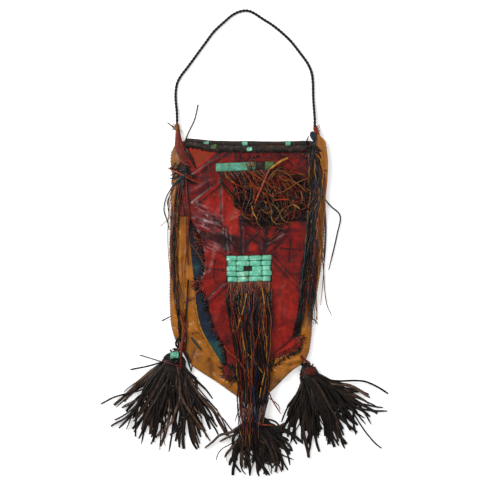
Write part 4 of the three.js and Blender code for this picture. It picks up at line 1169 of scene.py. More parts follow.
def make_borders():
    """The strips that show around the front panel."""
    def under_left(y):
        return panel_left(y) + UNDERLAP

    def under_right(y):
        return panel_right(y) - UNDERLAP

    for name, (high, low) in LEFT_BORDERS.items():
        x, y = between(left_border_edge, under_left, 40, 12, low + 0.2, high - 0.2)
        top = TRIM_TOP + 0.35 * soft_noise(x, y, 8, 42)
        tone = np.interp(y, *zip(*BORDER_TONES))
        strip = hide(name + "_strip", x, y, top, TRIM_BOTTOM, finish(indigo_goatskin), {"tone": tone})
        seat(strip, "bag", "dark_leather" if name == "left_border_top" else "blue_leather", name)
    low, high = RIGHT_BORDER_EDGE[-1][0] + 0.3, RIGHT_BORDER_EDGE[0][0]
    x, y = between(under_right, right_border_edge, 60, 12, low, high)
    top = TRIM_TOP + 0.25 * soft_noise(x, y, 8, 43)
    strip = hide("right_border_strip", x, y, top, TRIM_BOTTOM, finish(black_goatskin))
    seat(strip, "bag", "dark_leather", "right_border")
    low, high = RIGHT_TRIM_EDGE[-1][0], RIGHT_TRIM_EDGE[0][0]
    x, y = between(under_right, right_trim_edge, 30, 14, low, high)
    top = TRIM_TOP + 0.7 * soft_noise(x, y, 7, 44)
    from_top = np.clip((high - y) / 6, 0, 1)
    # Painted shadow: darker along the front panel's edge, which lies over the trim; darker too towards the
    # trim's upper end.
    ink = 0.8 * np.exp(-((x - panel_right(y)) / 1.6) ** 2) + 0.5 * (1 - from_top)
    values = {"tone": 0.62 + 0.2 * soft_noise(x, y, 12, 45), "ink": ink}
    strip = hide("right_trim_strip", x, y, top, TRIM_BOTTOM, finish(red_goatskin), values)
    seat(strip, "bag", "red_hide", "right_trim_red")
    dark = cut_sheet("right_trim_dark_strip", RIGHT_TRIM_DARK, TRIM_BOTTOM, TRIM_TOP, finish(black_goatskin))
    seat(dark, "bag", "dark_leather", "right_trim_dark")
    left = cut_sheet("left_trim_patch", LEFT_TRIM, TRIM_BOTTOM, TRIM_TOP, finish(red_goatskin), 0.35)
    seat(left, "bag", "red_hide", "left_trim")


def make_border_teeth():
    """The short teeth that the strips' edges are cut into, and the tufts and tangles beside them."""
    rng = np.random.default_rng(41)
    teeth = Strands()

    def tooth(x, y, aim, length, dyes, width=1.6, layer=1.8):
        path = wander(rng, (x, y), aim, length, 0.12, 1.6)
        dye = DYES[rng.choice(dyes)]
        laid = lay(path, rng.uniform(0.8, layer))
        teeth.add(laid, width * taper(len(path), 0.4, 0.6), dye, rng.normal(0, 0.4))

    # Teeth of the left strips.
    dyes = ["black", "black", "black", "black", "brown", "navy", "russet"]
    for y in np.arange(86, -158, -1.1):
        start = panel_left(y) + rng.uniform(-1, 2)
        tooth(start, y + rng.normal(0, 0.8), math.pi + rng.normal(0.3, 0.4), rng.uniform(5, 12), dyes)
    # The ochre edge of the lowest left strip.
    edge_y = np.arange(-58, -158, -4.0)
    edge_x = left_border_edge(edge_y)
    teeth.add(lay(np.column_stack([edge_x - 0.5, edge_y]), 0.9), 2.8, DYES["ochre"])
    # Red tufts on the left strips.
    dyes = ["russet", "red", "russet", "black"]
    for low, high in RED_TUFTS:
        for y in np.arange(low, high, 0.8):
            start = panel_left(y) - rng.uniform(-3, 8)
            tooth(start, y, rng.uniform(-math.pi, math.pi), rng.uniform(5, 11), dyes, 2.0, 3.0)
    # Teeth of the right border.
    for y in np.arange(80, -113, -2.0):
        start, end = panel_right(y) - rng.uniform(0, 3), right_border_edge(y) + rng.uniform(-1, 4)
        tooth(start, y, rng.normal(0.12, 0.12), end - start, ["black", "black", "brown"], 2.0)
    # Both edges of the red trim.
    dyes = ["black", "brown", "brown", "tan", "russet"]
    for y in np.linspace(-113, -151, 60):
        x = right_trim_edge(y)
        tooth(x - 2, y - 1, rng.normal(-1.0, 0.45), rng.uniform(4, 9), dyes, 1.4)
        tooth(x - 9, y + 3, rng.normal(-1.0, 0.5), rng.uniform(4, 8), ["russet", "red", "black"])
    # The tuft at the trim's upper end.
    for _ in range(26):
        spot = (rng.uniform(78, 91), rng.uniform(-124, -112))
        tooth(*spot, rng.normal(0.7, 0.5), rng.uniform(5, 10), ["russet", "red", "red", "brown"], 1.6, 2.6)
    # Teeth of the dark trim.
    for t in np.linspace(0, 1, 46):
        spot = (24 + 64 * t, -178 + 43 * t + 6 * math.sin(math.pi * t))
        tooth(*spot, rng.normal(-1.0, 0.35), rng.uniform(5, 9), ["black", "brown"])
    # The tangle on the left trim.
    for _ in range(80):
        spot = (rng.uniform(-42, -18), rng.uniform(-186, -162))
        path = wander(rng, spot, rng.uniform(-math.pi, math.pi), rng.uniform(8, 18), 0.35, 2.0)
        dye = DYES[rng.choice(["russet", "russet", "black", "brown"])]
        laid = lay(path, rng.uniform(0.8, 3.5))
        teeth.add(laid, 1.8 * taper(len(path), 0.6), dye, rng.normal(0, 0.5))
    seat(teeth.sweep("border_teeth", finish(rolled_thongs), 0.35, 5), "bag", "thong_leather")


def scrap(name, node, maker, tone, seed, crown, shift):
    """A small scrap of leather with uneven edges and a crumpled crown, in the place of a plain block."""
    low, high = (corner + shift for corner in solid_box(node))
    centre, half = (low + high) / 2, (high - low) / 2
    u, v = np.meshgrid(np.linspace(-1, 1, 15), np.linspace(-1, 1, 13))
    x = centre[0] + half[0] * (u + 0.14 * soft_noise(u * 9, v * 9, 6, seed))
    y = centre[1] + half[1] * (v + 0.2 * soft_noise(u * 9, v * 9, 6, seed + 50) + 0.15 * u)
    fold = np.abs(soft_noise(x, y, 3.2, seed + 100))
    top = high[2] + crown * (1 - 0.7 * u ** 2 - 0.4 * v ** 2) - 1.2 * fold
    ink = np.clip(1.2 - 5 * fold, 0, 1) * 0.35
    shade = {"tone": tone + 0.5 * fold, "ink": ink + 0.5 * (np.maximum(np.abs(u), np.abs(v)) > 0.95)}
    return hide(name, x, y, top, np.minimum(top - 0.8, low[2]), finish(maker), shade)


def make_mouth():
    """The dark bindings along the mouth, overcast with thongs, and the small green tabs on them."""
    rng = np.random.default_rng(51)
    overcast = Strands()
    rows, columns = 280, 12
    for node, lift, crown in (("mouth_binding_front", 7.0, 1.0), ("mouth_binding_back", 4.5, 0.6)):
        low, high = solid_box(node)
        x = np.repeat(np.linspace(low[0], high[0], rows)[:, None], columns, axis=1)
        v = np.repeat(np.linspace(0, 1, columns)[None, :], rows, axis=0)
        raise_left = lift * smooth_step(-50, -108, x) - 1.5 * smooth_step(-108, -60, x)
        base = low[1] + raise_left + 0.7 * soft_noise(x, 0, 24, 52)
        base += 0.5 * soft_noise(x, v, 3, 53) * (v < 0.1)
        y = base + (high[1] - low[1]) * v * (1 - 0.18 * smooth_step(-50, -108, x))
        rib = np.abs(np.sin(math.pi * (x + 2 * v) / 2.6 + 0.8 * soft_noise(x, 0, 9, 54)))
        bulge = np.sin(math.pi * np.clip(v * 0.94 + 0.03, 0, 1)) ** 0.6
        top = high[2] - 1.2 + bulge * (0.9 + crown * 0.5 * rib) + 0.3 * soft_noise(x, y, 10, 55)
        fold = (top - 0.9 - low[2]) * smooth_step(0.55, 1.0, v)
        band = hide(node + "_band", x, y, top, top - 0.9 - fold, finish(black_goatskin))
        seat(band, "bag", "dark_leather", node)
        for k in range(0, rows, 3):
            width = y[k, -1] - y[k, 0]
            start = (x[k, 0], y[k, 0] - rng.uniform(0.5, 2.6), top[k, 0] - 0.2)
            route = [start, (x[k, 0] + 0.4, y[k, 0] + 0.3 * width, top[k, 4] + 0.2)]
            dye = DYES[rng.choice(["black", "black", "brown"])]
            overcast.add(smooth_path(route, 2.0), rng.uniform(1.0, 1.8), dye, rng.normal(0, 0.3))
    seat(overcast.sweep("mouth_overcasting", finish(rolled_thongs), 0.5, 5), "bag", "dark_leather")
    for k, node in enumerate(("front_tab_1", "front_tab_2", "back_tab_1", "back_tab_2", "back_tab_3")):
        maker, shift = verdigris_goatskin, (0, -2, 0)
        if node == "front_tab_1":
            maker, shift = green_goatskin, (0, 2, 0)
        seat(scrap(node + "_patch", node, maker, 0.4, k, 0.8, shift), "bag", "turquoise_leather", node)


def make_bar():
    """The rolled bar over the upper fringe, wrapped in turquoise, black and green, with stitched edges."""
    angle = ring_angles(20)
    section = np.column_stack([np.cos(angle), np.sin(angle)])
    section = np.sign(section) * np.abs(section) ** 0.75
    makers = {"bar_turquoise": verdigris_goatskin, "bar_dark": black_goatskin, "bar_green": green_goatskin}
    for node, maker in makers.items():
        low, high = solid_box(node)
        centre, half = (low + high) / 2, (high - low) / 2
        rings, ink = [], []
        length = high[0] - low[0]
        for x in np.linspace(low[0], high[0], int(length / 0.7)):
            end = min(x - low[0], high[0] - x)
            round_end = 0.86 + 0.14 * math.sqrt(min(end / 3, 1))
            crease = 1 + 0.03 * soft_noise(x, 0, 4, 61) - 0.03 * abs(math.sin(math.pi * x / 5.5)) ** 8
            size = round_end * crease * (1.06 - 0.1 * (x + 56) / 99)
            y = centre[1] - 1 + BAR_SLOPE * x + half[1] * size * section[:, 0]
            z = centre[2] + half[2] * size * section[:, 1]
            rings.append(np.column_stack([np.full(len(y), x), y, z]))
            ink.append(0.5 * (np.abs(section[:, 0]) > 0.93))
        values = {"ink": np.array(ink), "tone": np.full(np.shape(ink), 0.3)}
        bar = loft(node + "_wrap", rings, finish(maker), values)
        seat(bar, "bag", node.replace("bar_", "") + "_leather", node)
    stitches = Strands()
    for side in (1, -1):
        for x in np.arange(-53, 10, 2.6):
            y = BAR_MIDDLE + BAR_SLOPE * x + side * 6.9
            path = [(x, y - side * 1.8, 20.7), (x + 0.5, y, 20.0), (x + 0.9, y + side * 1.3, 17.6)]
            stitches.add(path, 0.8, DYES["brown"])
    for k, x in enumerate(np.arange(-3, 11.5, 1.6)):
        lean = 4 * (-1) ** k
        y = BAR_MIDDLE + BAR_SLOPE * x
        path = [
            (x - lean / 2, y + 7.2, 18.5), (x - lean / 3, y + 4.5, 21.9),
            (x + lean / 3, y - 4.5, 21.9), (x + lean / 2, y - 7.2, 18.5),
        ]
        stitches.add(smooth_path(path, 1.5), 1.5, DYES[("brown", "ochre", "black", "tan", "brown")[k % 5]])
    seat(stitches.sweep("bar_stitches", finish(rolled_thongs), 0.8, 5), "bag", "thong_leather")


def plaque_strip(row, left, right):
    """A strip of the plaque in one of its rows, pinched into bead-like cells between its ends."""
    middle = PLAQUE_TOP - PITCH * (row + 0.5) + ROW_SHIFTS[row]
    joints = [j + (1.2 if row in (1, 4) else -0.6) * math.sin(row + j) for j in PLAQUE_JOINTS]
    cuts = np.array([left] + [j for j in joints if left + 6 < j < right - 6] + [right])
    line = np.linspace(left, right, int((right - left) / 0.55))
    cell = np.clip(np.searchsorted(cuts, line) - 1, 0, len(cuts) - 2)
    starts, stops = cuts[cell], cuts[cell + 1]
    across = np.clip((2 * line - starts - stops) / (stops - starts), -1, 1)
    bulge = 1 - np.abs(across) ** 5
    v = np.linspace(-1, 1, 17)[:, None]
    x = np.repeat(line[None, :], len(v), axis=0)
    tilt = 0.02 * line + 0.9 * soft_noise(line, row * 9, 16, 71)
    y = middle + tilt + PITCH * (0.41 + 0.1 * bulge) * v
    crown = (0.15 + 0.85 * bulge) * np.sqrt(np.clip(1 - np.abs(v) ** 3.2, 0, 1))
    dent = 0.5 * np.exp(-(v / 0.12) ** 2) * (row in (0, 1, 3)) * soft_noise(x, row * 7, 8, 73)
    crown = crown * (1 + 0.16 * soft_noise(x, y, 5, 72)) - 0.12 * np.maximum(dent, 0)
    top = PLAQUE_FLOOR + 0.4 + 2.8 * np.maximum(crown, 0)
    # Painted shade: darker where the crown falls away, in the pinches between cells, along the strip's edges
    # and in its dents.
    ink = np.clip(1.05 - 1.7 * crown, 0, 1) * 0.95
    values = {"ink": ink, "tone": 0.72 + 0.18 * soft_noise(x, y, 9, 74)}
    return hide("plaque_row", x, y, top, PLAQUE_FLOOR - 0.4, finish(verdigris_goatskin), values)


def make_plaque():
    """The plaque: five strips of cells on a dark backing, with a window in the third."""
    strips = []
    for row in range(len(ROW_SHIFTS)):
        left, right = (side * PLAQUE_WIDTH / 2 + 1.2 * math.sin(2.3 * row + side) for side in (-1, 1))
        spans = [(left, WINDOW[0]), (WINDOW[1], right)] if row == WINDOW_ROW else [(left, right)]
        strips += [plaque_strip(row, *span) for span in spans]
    seat(joined("plaque_cells", strips), "bag", "turquoise_leather", "plaque_strip_1", "plaque_strip_2",
         "plaque_strip_3_left", "plaque_strip_3_right", "plaque_strip_4", "plaque_strip_5")
    low, high = PLAQUE_FLOOR - 1.5, PLAQUE_FLOOR - 0.3
    backing = cut_sheet("plaque_backing_hide", BACKING, low, high, finish(black_goatskin))
    seat(backing, "bag", "dark_leather", "plaque_backing")


def pick(rng, palette):
    """A dye for one thong of a fringe, by how often that fringe has it."""
    names, shares = zip(*PALETTES[palette].items())
    return DYES[names[rng.choice(len(names), p=np.array(shares) / sum(shares))]]


def make_upper_fringe(sizes):
    """The tangle of thongs below the bar: a dark mass, thongs that fall over it, and single curls."""
    rng = np.random.default_rng(81)
    fringe = Strands()
    centre, reach = np.array([40, 131]), np.array([64, 46])
    side_start, side_out = np.array([-52, 160]), np.array([-0.787, -0.618])

    def steer(spot, heading):
        away = max(0.0, np.linalg.norm((spot - centre) / reach) - 0.82)
        away += 0.4 * min(max(0.0, np.dot(spot - side_start, side_out) / 10), 1.0)
        back = math.atan2(*(centre - spot)[::-1])
        return 0.3 * away * turn_towards(heading, back)

    for k in range(sizes.upper_thongs):
        under = k < sizes.upper_thongs * MASS_SHARE
        share = rng.random()
        if under:
            # In the dark mass at the bottom: black and brown thongs, whose darkness also stands in for the
            # shade deep in the tangle.
            spread = rng.uniform(-1, 1, 2) * (46, 28)
            start = (44 + spread[0], 115 + spread[1] - 0.22 * spread[0])
            heading = rng.uniform(-math.pi, math.pi)
            length, curl, pile, widest = rng.uniform(35, 70), 0.13, rng.uniform(0, 4), 1.3
        elif rng.random() < FALLING_SHARE:
            # Falling from the bar.
            start = (-48 + 92 * share, 168.5 + 3.5 * share + rng.uniform(-1, 1))
            heading = math.radians(-80 + 50 * share + rng.normal(0, 12))
            length, curl, pile, widest = rng.uniform(50, 115), 0.045, rng.uniform(3, 8), 1.05
        else:
            # A curl on top.
            start = (-8 + 96 * share, 166 - 66 * rng.random())
            heading = rng.uniform(-2.6, 0.7)
            length, curl, pile, widest = rng.uniform(30, 70), 0.12, rng.uniform(6, 9), 0.7
        path = wander(rng, start, heading, length, curl, 4.0, steer)
        t = np.linspace(0, 1, len(path))
        layer = 0.9 + pile * np.sin(math.pi * np.clip(t * 0.9 + 0.1, 0, 1)) ** 0.8
        width = sizes.thong_width / MM * rng.uniform(0.4, widest)
        dye = DYES[rng.choice(["black", "black", "black", "brown", "brown"])] if under else pick(rng, "upper")
        fringe.add(lay(path, layer), width * taper(len(path), 0.6), dye, rng.normal(0, 0.6))
    fringe.add_strays(UPPER_STRAYS, 3.0, lambda: 9.5)
    thongs = fringe.sweep("upper_fringe_thongs", finish(rolled_thongs), 0.6)
    seat(thongs, "bag", "thong_leather", "upper_fringe")


def make_plaque_fringe(sizes):
    """The long thongs that hang from the plaque down over the bottom tassel."""
    rng = np.random.default_rng(82)
    fringe = Strands()
    left = edge_line([[-18, -34], [-51, -37], [-90, -31], [-136, -22], [-195, -16], [-221, -15], [-300, -9]])
    right = edge_line([[-18, 36], [-51, 37], [-90, 34], [-136, 30], [-195, 31], [-221, 28], [-300, 18]])
    for k in range(sizes.plaque_thongs):
        share = (k + rng.random()) / sizes.plaque_thongs
        crossing = rng.random() < CROSSING_SHARE
        drift = rng.normal(0, 0.5) if crossing else rng.normal(0, 0.09)
        end = rng.uniform(-304, -262) if rng.random() < LONG_PLAQUE_SHARE else rng.uniform(-250, -90)
        y = np.arange(-19.5, end, -5.0)
        t = (y - y[0]) / (y[-1] - y[0])
        lock = 0.08 * np.sin(2 * math.pi * (3 * share + 1.3 * t)) * t
        at = np.clip(share + drift * t + lock, -0.03, 1.03)
        loose = np.minimum(t * 6, 1)
        sway = 4.6 * soft_noise(y, k * 37.3, 44, 83) + 1.0 * soft_noise(y, k * 37.3, 13, 86)
        x = left(y) + (right(y) - left(y)) * at + sway * loose
        layer = 0.8 + (rng.uniform(6, 9) if crossing else rng.uniform(0, 7)) * smooth_step(0, 0.15, t)
        width = sizes.thong_width / MM * rng.uniform(0.4, 0.98)
        root = DYES[rng.choice(["red", "russet", "russet", "russet", "brown", "tan"])]
        dyes = np.where(y > -30 - 12 * rng.random(), root, pick(rng, "plaque"))
        path = lay(np.column_stack([x, y]), layer)
        fringe.add(path, width * taper(len(y), 0.6), dyes, rng.normal(0, 0.5))
    fringe.add_strays(PLAQUE_STRAYS, 3.0, lambda: 8.5)
    thongs = fringe.sweep("plaque_fringe_thongs", finish(rolled_thongs), 0.6)
    seat(thongs, "bag", "thong_leather", "plaque_fringe")


def make_side_fringes(sizes):
    """The thin thongs that hang beside both edges from a knot, with their strays."""
    rng = np.random.default_rng(88)
    for node, shape in SIDE_FRINGES.items():
        knot, lowest = shape["knot"], shape["line"][-1][0]
        middle = edge_line(shape["line"])
        fringe = Strands()
        for k in range(shape["count"]):
            end = rng.uniform(lowest, -50) if rng.random() < LONG_SIDE_SHARE else rng.uniform(-50, 100)
            y = np.arange(knot[1] + rng.uniform(-3, 5), end, -5.0)
            t = (y - y[0]) / (y[-1] - y[0])
            first, last = rng.normal(0, 0.7, 2) * shape["spread"]
            offset = (first + (last - first) * t) * smooth_step(0, 0.2, t)
            sway = 5.5 * soft_noise(y, k * 37.7, 42, 85) + 2.0 * soft_noise(y, k * 37.7, 15, 87)
            x = middle(y) + offset + sway * np.minimum(t * 4, 1)
            width = sizes.thong_width / MM * rng.uniform(0.4, shape["widest"])
            path = lay(np.column_stack([x, y]), 0.8 + rng.uniform(0, 5))
            dye = DYES["black"] if width > 2.6 else pick(rng, "side")
            fringe.add(path, width * taper(len(y), 0.5), dye, rng.normal(0, 0.6))
        for _ in range(KNOT_THONGS):
            spot = np.array(knot) + rng.normal(0, 1, 2) * (4.5, 8)
            path = wander(rng, spot, rng.normal(-math.pi / 2, 0.5), rng.uniform(12, 28), 0.16, 3.0)
            dye = DYES[rng.choice(["black", "black", "black", "brown", "russet"])]
            fringe.add(lay(path, rng.uniform(1, 6)), 2.4 * taper(len(path), 0.6), dye)
        fringe.add_strays(shape["strays"], 4.0, lambda: rng.uniform(1.5, 4.0))
        thongs = fringe.sweep(node + "_thongs", finish(rolled_thongs), 0.6)
        seat(thongs, "bag", "thong_leather", node)


def make_strap():
    """The red strap that hangs on the left."""
    low, high = solid_box("hanging_strap")
    y = np.repeat(np.linspace(low[1], high[1], 40)[:, None], 12, axis=1)
    share = np.linspace(0, 1, 12)[None, :]
    fold = np.sin(math.pi * share * 2.2 + y / 17)
    left = low[0] + 1 + 9 * smooth_step(122, high[1], y)
    x = left + (high[0] + 2.5 - left) * share
    # Painted light and shade: paler on the crests of the folds and darker in their troughs; darker also along
    # the strap's left edge.
    values = {"tone": 0.26 + 0.12 * fold, "ink": 0.6 * np.exp(-share / 0.06) + 0 * y}
    strap = hide("hanging_strap_hide", x, y, high[2] + 0.8 * fold + 0.5, low[2], finish(red_goatskin), values)
    seat(strap, "bag", "red_hide", "hanging_strap")


def tube(name, stations, leather, tone, pleats):
    """A gathered tube of leather through stations of x, y, z, half width and half height."""
    path = smooth_path(stations, 2.0)
    angle = ring_angles(28)
    along = unit(np.gradient(path[:, :2], axis=0))
    rings = []
    for (x, y, z, wide, high), (ax, ay) in zip(path, along):
        gather = 1 + 0.05 * np.sin(pleats * angle + 0.05 * y) + 0.07 * soft_noise(5 * np.cos(angle), y, 8, 95)
        across = wide * gather * np.cos(angle)
        height = np.maximum(z + high * gather * np.sin(angle), 0.2)
        rings.append(np.column_stack([x - ay * across, y + ax * across, height]))
    # Painted light and shade: paler on the crests of the gathers and darker in their folds.
    shade = np.tile(tone + 0.12 * np.sin(pleats * angle), len(rings))
    return loft(name, rings, leather, {"tone": shade, "ink": np.zeros(len(shade))})


def make_cord_tabs():
    """The leather ends that hold the cord: a red one, a tan one and a blue leaf."""
    left = tube("left_cord_tab_hide", [
        (-121.8, 244, 6.5, 3.0, 2.8), (-120.6, 231, 8, 4.6, 2.4), (-119.6, 221, 11.5, 5.8, 2.0),
        (-118.6, 212, 14, 7.4, 1.6), (-116, 203.5, 15.2, 7.2, 1.4), (-112, 191, 16, 6.6, 1.3),
        (-107, 181, 16.6, 5.6, 1.2), (-101, 174, 17.2, 3.5, 1.0),
    ], finish(russet_goatskin), 0.45, 3)
    seat(left, "bag", "red_hide", "left_cord_tab")
    right = tube("right_cord_tab_hide", [
        (112.4, 242, 6.5, 3.0, 3.0), (114.6, 234, 8.5, 3.4, 3.0), (117.6, 226.5, 10, 4.4, 3.0),
        (120.2, 221, 11, 6.8, 2.8), (121.8, 215.5, 11.5, 8.8, 2.7), (123.6, 207, 11.8, 8.6, 2.6),
        (126, 196, 12, 7.6, 2.6), (127.6, 176, 12, 6.4, 2.4), (128, 150, 10.5, 5.2, 1.8),
        (127.5, 128, 8.5, 3.8, 1.2),
    ], finish(tan_goatskin), 0.6, 3)
    seat(right, "bag", "tan_hide", "right_cord_tab")
    leaf = tube("blue_leaf_tab", [
        (106, 235, 17, 2.4, 0.6), (107.8, 230.5, 17, 5.4, 0.9), (109.8, 224.5, 17.4, 4.6, 0.9),
        (111.5, 217, 17.6, 2.2, 0.8), (112, 208, 17.6, 1.2, 0.7),
    ], finish(indigo_goatskin), 0.54, 2)
    seat(leaf, "bag", "blue_leather", "blue_tab")


def make_whippings():
    """The thongs that bind the cord's ends to their tabs: a coil with loose ends over it."""
    rng = np.random.default_rng(91)
    count = 120
    for side, (start, end, radius, dyes) in WHIPPINGS.items():
        whipping = Strands()
        turns = np.linspace(0, 2 * math.pi * 6, count)
        axis = np.linspace(start, end, count)
        reach = (radius + 0.2 * np.sin(turns * 1.7)) * np.linspace(0.9, 1.15, count)
        coil = axis + reach[:, None] * np.column_stack([np.cos(turns), 0 * turns, np.sin(turns)])
        whipping.add(coil, 2.0, DYES[dyes[0]])
        for _ in range(TANGLE_THONGS):
            spot = axis[rng.integers(count)] + rng.uniform(-2.5, 2.5, 3)
            path = wander(rng, spot[:2], rng.uniform(-math.pi, math.pi), rng.uniform(5, 11), 0.25, 2.0)
            heights = spot[2] + rng.uniform(0, 3) + np.linspace(0, 1, len(path)) * rng.uniform(-3, 2)
            loose = np.column_stack([path, heights])
            whipping.add(loose, 1.4 * taper(len(path), 0.5), DYES[rng.choice(dyes)])
        piece = whipping.sweep(side + "_whipping_thong", finish(rolled_thongs), 0.7)
        seat(piece, "bag", "ochre_leather", side + "_cord_whipping")


def hung(points, pivot, turn):
    """Points of a tassel turned about its pivot to where it hangs."""
    cos, sin = math.cos(math.radians(turn)), math.sin(math.radians(turn))
    x, y, z = np.asarray(points, float).T
    return np.column_stack([pivot[0] + x * cos - y * sin, pivot[1] + x * sin + y * cos, z])


def tassel_strips(rng, side, pivot, shape, sizes):
    """The fan of cut strips of one tassel."""
    _, low, head_length = shape["head"]
    fan = shape["fan"]
    strips = Strands()

    def held(way):
        return min(max(way, fan[0] - FAN_SLACK), fan[1] + FAN_SLACK)

    plans = [(lean, length, STRAY_THICKNESS) for lean, length in shape["strays"]]
    for k in range(shape["strips"]):
        lean = fan[0] + (fan[1] - fan[0]) * (k + rng.random()) / shape["strips"]
        plans.append((lean, shape["length"] * rng.uniform(0.5, 1.06), 1.0))
    for degrees, length, thickness in plans:
        across = min(max((degrees - fan[0]) / (fan[1] - fan[0]), 0), 1)
        start = (low * 0.4 * (2 * across - 1), -(NECK + head_length * rng.uniform(0.45, 0.8)))
        stray = thickness < 1
        bent = degrees if stray else held(degrees + rng.normal(0, 10))
        droop = -shape["droop"] * math.radians(bent)
        bulge = 1.0 if stray else shape["bulge"]
        heading = -math.pi / 2 + bulge * math.radians(degrees) + rng.normal(0, 0.15)
        kink = rng.uniform(0.2, 0.9) * length if rng.random() < 0.5 else 2 * length
        crook = rng.normal(0, 24)
        far = bent if stray else held(bent + crook)
        aim, aside = (-math.pi / 2 + math.radians(way) for way in (bent, far))

        def steer(spot, heading):
            beyond = math.hypot(*spot) - kink
            sharp = 0.7 * (aside - aim) if abs(beyond) < 2.5 else 0.0
            goal = (aside if beyond > 0 else aim) + droop * min(1.0, -spot[1] / length)
            return sharp + 0.13 * turn_towards(heading, goal)

        path = wander(rng, start, heading, length, shape["curl"], 4.0, steer)
        t = np.linspace(0, 1, len(path))
        layer = rng.uniform(0, 1)
        width = sizes.strip_width / MM * rng.uniform(0.55, 1.25) * thickness
        roll = rng.normal(0, 0.26) + rng.normal(0, 0.6) * t
        z = 1.2 + 9 * layer * (1 - 0.75 * t) + 3.0 * np.sin(math.pi * t) * layer
        z = np.maximum(z, 0.4 + 0.5 * width * np.abs(np.sin(roll)))
        points = hung(np.column_stack([path, z]), pivot, shape["turn"])
        widths = width * taper(len(path), rng.uniform(0.4, 1.0), 0.08)
        strips.add(points, widths, rng.beta(1.1, 1.8), roll)
    piece = strips.sweep(side + "_tassel_fan", finish(dry_cut_strips), 0.16)
    seat(piece, side + "_tassel", "tassel_leather", side + "_tassel_strips")


def tassel_head(rng, side, pivot, shape):
    """The gathered head of one tassel, bound with thongs."""
    top, low, head_length = shape["head"]
    angle = ring_angles(48)
    stations = [
        (5.5, 3.5, 3.2), (1, 6, 4.4), (-NECK + 2, top / 2 - 1, 5.4), (-NECK - 4, top / 2 + 1, 5.8),
        (-NECK - head_length * 0.6, low / 2 - 1, 5.6), (-NECK - head_length, low / 2, 4.8),
        (-NECK - head_length - 4, low / 2 - 3, 3.5),
    ]
    rings = []
    for s, wide, high in smooth_path(stations, 1.5):
        pleat = 1 + 0.07 * np.sin(11 * angle + 0.1 * s) + 0.04 * np.sin(23 * angle)
        z = np.maximum(high * (1 + pleat * np.sin(angle)), 0.1)
        ring = np.column_stack([wide * pleat * np.cos(angle), np.full(len(angle), s), z])
        rings.append(hung(ring, pivot, shape["turn"]))
    # Painted light and shade: the dye is paler on the crests of the pleats and darker between them.
    shade = {"dye": np.tile(0.25 + 0.2 * np.sin(11 * angle), len(rings))}
    head = loft(side + "_tassel_gather", rings, finish(dry_cut_strips), shade)
    seat(head, side + "_tassel", "tassel_leather", side + "_tassel_head")
    wraps = Strands()
    for k, dye in enumerate(shape["wraps"]):
        share = 0.1 + 0.12 * k
        s = -NECK - head_length * share
        wide = top / 2 + (low - top) / 2 * share + 1.2
        turn = np.linspace(0, 2 * math.pi, 40)
        ring = np.column_stack([wide * np.cos(turn), s + 1.5 * np.sin(turn + k), 5.8 + 6.4 * np.sin(turn)])
        ring[:, 2] = np.maximum(ring[:, 2], 0.7)
        wraps.add(hung(ring, pivot, shape["turn"]), 2.4, DYES[dye])
    for _ in range(TANGLE_THONGS):
        spot = (rng.normal(0, 0.17) * top, rng.uniform(-NECK - 6, 7))
        path = wander(rng, spot, rng.uniform(-math.pi, math.pi), rng.uniform(7, 13), 0.12, 2.5)
        flat = np.column_stack([path, np.full(len(path), 10 + rng.uniform(-3, 3))])
        dye = DYES[rng.choice(["black", "brown"])]
        wraps.add(hung(flat, pivot, shape["turn"]), 2.8 * taper(len(path), 0.5), dye)
    seat(wraps.sweep(side + "_tassel_wraps", finish(rolled_thongs), 0.6), side + "_tassel", "thong_leather")


def make_tassels(sizes):
    """The three tassels, each with its fan of strips, its bound head and the tie that it hangs from."""
    joints = {joint["child"]: joint["pos_m"] for joint in frame["joints"]}
    for k, (side, shape) in enumerate(TASSELS.items()):
        rng = np.random.default_rng(101 + k)
        pivot = np.array(joints[side + "_tassel"]) / MM
        place = pivot + (*shape["shift"], 0)
        tassel_strips(rng, side, place, shape, sizes)
        tassel_head(rng, side, place, shape)
        ties = Strands()
        low, high = solid_box(side + "_tassel_tie")
        x, y = {"left": high[0] - 2, "right": low[0] + 2, "bottom": 7}[side], high[1] - 2
        for offset in (-1.6, 1.6):
            route = [
                (x, y + offset, 15), ((x + pivot[0]) / 2, (y + pivot[1]) / 2 + offset, 14.5),
                (pivot[0] + offset, pivot[1] + 2, 13), (pivot[0] + offset, pivot[1] - 2, 10.5),
            ]
            ties.add(smooth_path(route, 2.0), 2.4, DYES["russet"])
        thongs = ties.sweep(side + "_tie_thongs", finish(rolled_thongs), 0.6)
        seat(thongs, "bag", "red_hide", side + "_tassel_tie")
    turquoise = scrap(
        "left_tassel_cloth", "left_tassel_binding", verdigris_goatskin, 0.38, 11, 1.6, (1.2, 13.5, 6))
    seat(turquoise, "left_tassel", "turquoise_leather", "left_tassel_binding")
    red = scrap("right_tassel_cloth", "right_tassel_binding", russet_goatskin, 0.12, 12, 2.6, (-4, 3, 1.5))
    seat(red, "right_tassel", "red_hide", "right_tassel_binding")


# Stage

